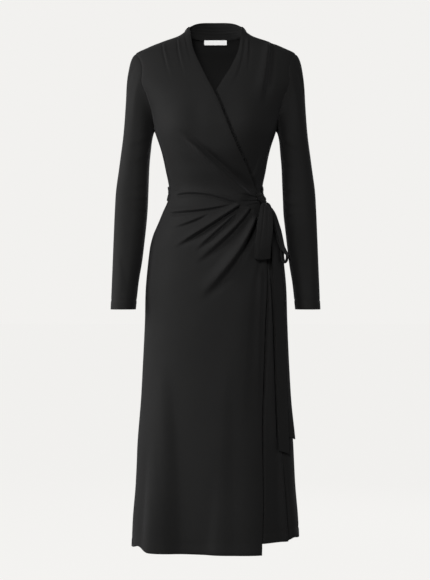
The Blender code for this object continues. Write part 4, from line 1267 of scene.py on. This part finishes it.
def jersey_material():
    """Matt black viscose jersey with a faint bloom, its stitch tops painted lighter as a painted
    highlight and its tone cloudy at random.
    """
    made = bpy.data.materials.get("Black Jersey")
    if made:
        return made
    sizes, colours, _ = settings()
    made, tree, shader = shader_of("Black Jersey")
    flat = tree.nodes.new("ShaderNodeUVMap")
    knit = tree.nodes.new("ShaderNodeGroup")
    knit.node_tree = stitch_group()
    knit.inputs["Wale"].default_value = sizes.wale
    knit.inputs["Course"].default_value = sizes.wale * 0.8
    wire(tree, flat.outputs[0], knit.inputs["Flat Map"])
    cloud = knit.outputs["Cloudiness"]
    # Painted highlight: the stitch tops take the lighter colour; the cloudy share is random tone.
    highlight_and_cloud_mask = maths(tree, "ADD", times(tree, knit.outputs["Tops"], STITCH_HIGHLIGHT_SHARE),
                 times(tree, cloud, 1 - STITCH_HIGHLIGHT_SHARE))
    mixed(tree, highlight_and_cloud_mask, colours.jersey, colours.jersey_lit_tops, shader.inputs["Base Color"])
    rough = maths(tree, "ADD", times(tree, cloud, ROUGHER), SMOOTHEST)
    wire(tree, rough, shader.inputs["Roughness"])
    embossed(tree, knit.outputs["Height"], shader, strength=0.35, distance=0.0003)
    shader.inputs["Specular IOR Level"].default_value = 0.30
    shader.inputs["Sheen Weight"].default_value = 0.10
    shader.inputs["Sheen Roughness"].default_value = 0.45
    shader.inputs["Sheen Tint"].default_value = (0.85, 0.85, 0.88, 1)
    return made


def label_material():
    """White woven tape, bare, the low parts of its weave painted a little darker as painted shade."""
    made = bpy.data.materials.get("Woven Tape")
    if made:
        return made
    colours = settings()[1]
    made, tree, shader = shader_of("Woven Tape")
    flat = tree.nodes.new("ShaderNodeUVMap")
    split = tree.nodes.new("ShaderNodeSeparateXYZ")
    wire(tree, flat.outputs[0], split.inputs[0])
    warp = maths(tree, "SINE", times(tree, split.outputs[0], WARP_PACE))
    weft = maths(tree, "SINE", times(tree, split.outputs[1], WEFT_PACE))
    weave = times(tree, warp, weft)
    # Painted shade: where the weave's relief is low the tape takes a slightly darker colour.
    shade = tree.nodes.new("ShaderNodeMapRange")
    shade.inputs["From Min"].default_value = -1.0
    shade.inputs["To Min"].default_value = 0.90
    wire(tree, weave, shade.inputs["Value"])
    weave_hollow_shade = [0.8 * channel for channel in colours.label]
    mixed(tree, shade.outputs[0], weave_hollow_shade, colours.label, shader.inputs["Base Color"])
    embossed(tree, weave, shader, strength=0.3, distance=0.0002)
    shader.inputs["Roughness"].default_value = 0.6
    return made


def studio_material():
    """Pale paper, mostly lit by itself so that it keeps one tone."""
    colours = settings()[1]
    made, tree, shader = shader_of("Studio Paper")
    shaded = [PAPER_SHADE * channel for channel in colours.studio]
    shader.inputs["Base Color"].default_value = (*shaded, 1)
    shader.inputs["Roughness"].default_value = 0.9
    shader.inputs["Specular IOR Level"].default_value = 0.0
    shader.inputs["Emission Color"].default_value = (*colours.studio, 1)
    path = tree.nodes.new("ShaderNodeLightPath")
    glow = times(tree, path.outputs["Is Camera Ray"], PAPER_GLOW)
    wire(tree, glow, shader.inputs["Emission Strength"])
    return made


# ---- the stage -----------------------------------------------------------------------------
class DRESS_OT_stage(bpy.types.Operator):
    """Place the camera, the floor and the lamps"""
    bl_idname = "dress.stage"
    bl_label = "Stage"

    def execute(self, context):
        scene = context.scene
        colours, studio = scene.dress_colours, scene.studio
        bpy.ops.object.camera_add(location=(CAMERA_ACROSS, -studio.distance, studio.eye_level),
                                  rotation=(math.radians(90), 0, 0))
        camera = context.object
        camera.name = "Camera"
        camera.data.sensor_fit = "VERTICAL"
        camera.data.sensor_height = SENSOR_HEIGHT
        camera.data.lens = SENSOR_HEIGHT * studio.distance / studio.seen_height
        scene.camera = camera
        bpy.ops.mesh.primitive_circle_add(vertices=96, radius=40, fill_type="NGON",
                                          location=(0, 0, studio.floor))
        floor = context.object
        floor.name = floor.data.name = "Studio_Floor"
        floor.data.materials.append(studio_material())
        for plan in LAMPS:
            self.lamp(plan, getattr(studio, plan.power) * plan.share)
        world = bpy.data.worlds.new("Studio Air")
        scene.world = world
        world.use_nodes = True
        tree = world.node_tree
        seen = tree.nodes["Background"]
        seen.inputs["Color"].default_value = (*colours.studio, 1)
        lit = tree.nodes.new("ShaderNodeBackground")
        lit.inputs["Strength"].default_value = studio.ambient
        either = tree.nodes.new("ShaderNodeMixShader")
        path = tree.nodes.new("ShaderNodeLightPath")
        wire(tree, path.outputs["Is Camera Ray"], either.inputs[0])
        wire(tree, lit.outputs[0], either.inputs[1])
        wire(tree, seen.outputs[0], either.inputs[2])
        wire(tree, either.outputs[0], tree.nodes["World Output"].inputs["Surface"])
        scene.view_settings.view_transform = "Standard"
        return {"FINISHED"}

    def lamp(self, plan, power):
        bpy.ops.object.light_add(type="AREA", location=plan.place)
        lamp = bpy.context.object
        lamp.name = lamp.data.name = plan.name
        lamp.data.energy = power
        lamp.data.shape = "RECTANGLE"
        lamp.data.size = plan.size
        lamp.data.size_y = plan.size * LAMP_TALLNESS
        lamp.data.spread = math.radians(plan.spread)
        way = np.array(plan.aim) - plan.place
        flat = math.hypot(way[0], way[1])
        lamp.rotation_euler = (math.atan2(flat, -way[2]), 0, math.atan2(-way[0], way[1]))
        lamp.visible_camera = False


class DRESS_PT_panel(bpy.types.Panel):
    """Steps of the dress in their order"""
    bl_idname = "DRESS_PT_panel"
    bl_label = "Wrap Dress"
    bl_space_type = "VIEW_3D"
    bl_region_type = "UI"
    bl_category = "Wrap Dress"

    def draw(self, context):
        for group in ("dress_sizes", "dress_colours", "studio"):
            values = getattr(context.scene, group)
            box = self.layout.box()
            for name in values.bl_rna.properties.keys():
                if name not in {"rna_type", "name"}:
                    box.prop(values, name)
        for step in STEPS:
            self.layout.operator(step.bl_idname)


STEPS = (DRESS_OT_stage, DRESS_OT_fronts, DRESS_OT_back, DRESS_OT_sleeves, DRESS_OT_neck,
         DRESS_OT_tie, DRESS_OT_knot)
GROUPS = {"dress_sizes": DressSizes, "dress_colours": DressColours, "studio": Studio}


def register():
    for name, group in GROUPS.items():
        bpy.utils.register_class(group)
        setattr(bpy.types.Scene, name, bpy.props.PointerProperty(type=group))
    for item in (*STEPS, DRESS_PT_panel):
        bpy.utils.register_class(item)


def unregister():
    for item in (DRESS_PT_panel, *reversed(STEPS)):
        bpy.utils.unregister_class(item)
    for name, group in GROUPS.items():
        delattr(bpy.types.Scene, name)
        bpy.utils.unregister_class(group)


def main():
    register()
    bpy.ops.dress.stage()
    bpy.ops.dress.fronts()
    bpy.ops.dress.back()
    bpy.ops.dress.sleeves()
    bpy.ops.dress.neck()
    bpy.ops.dress.tie()
    bpy.ops.dress.knot()


if __name__ == "__main__":
    main()
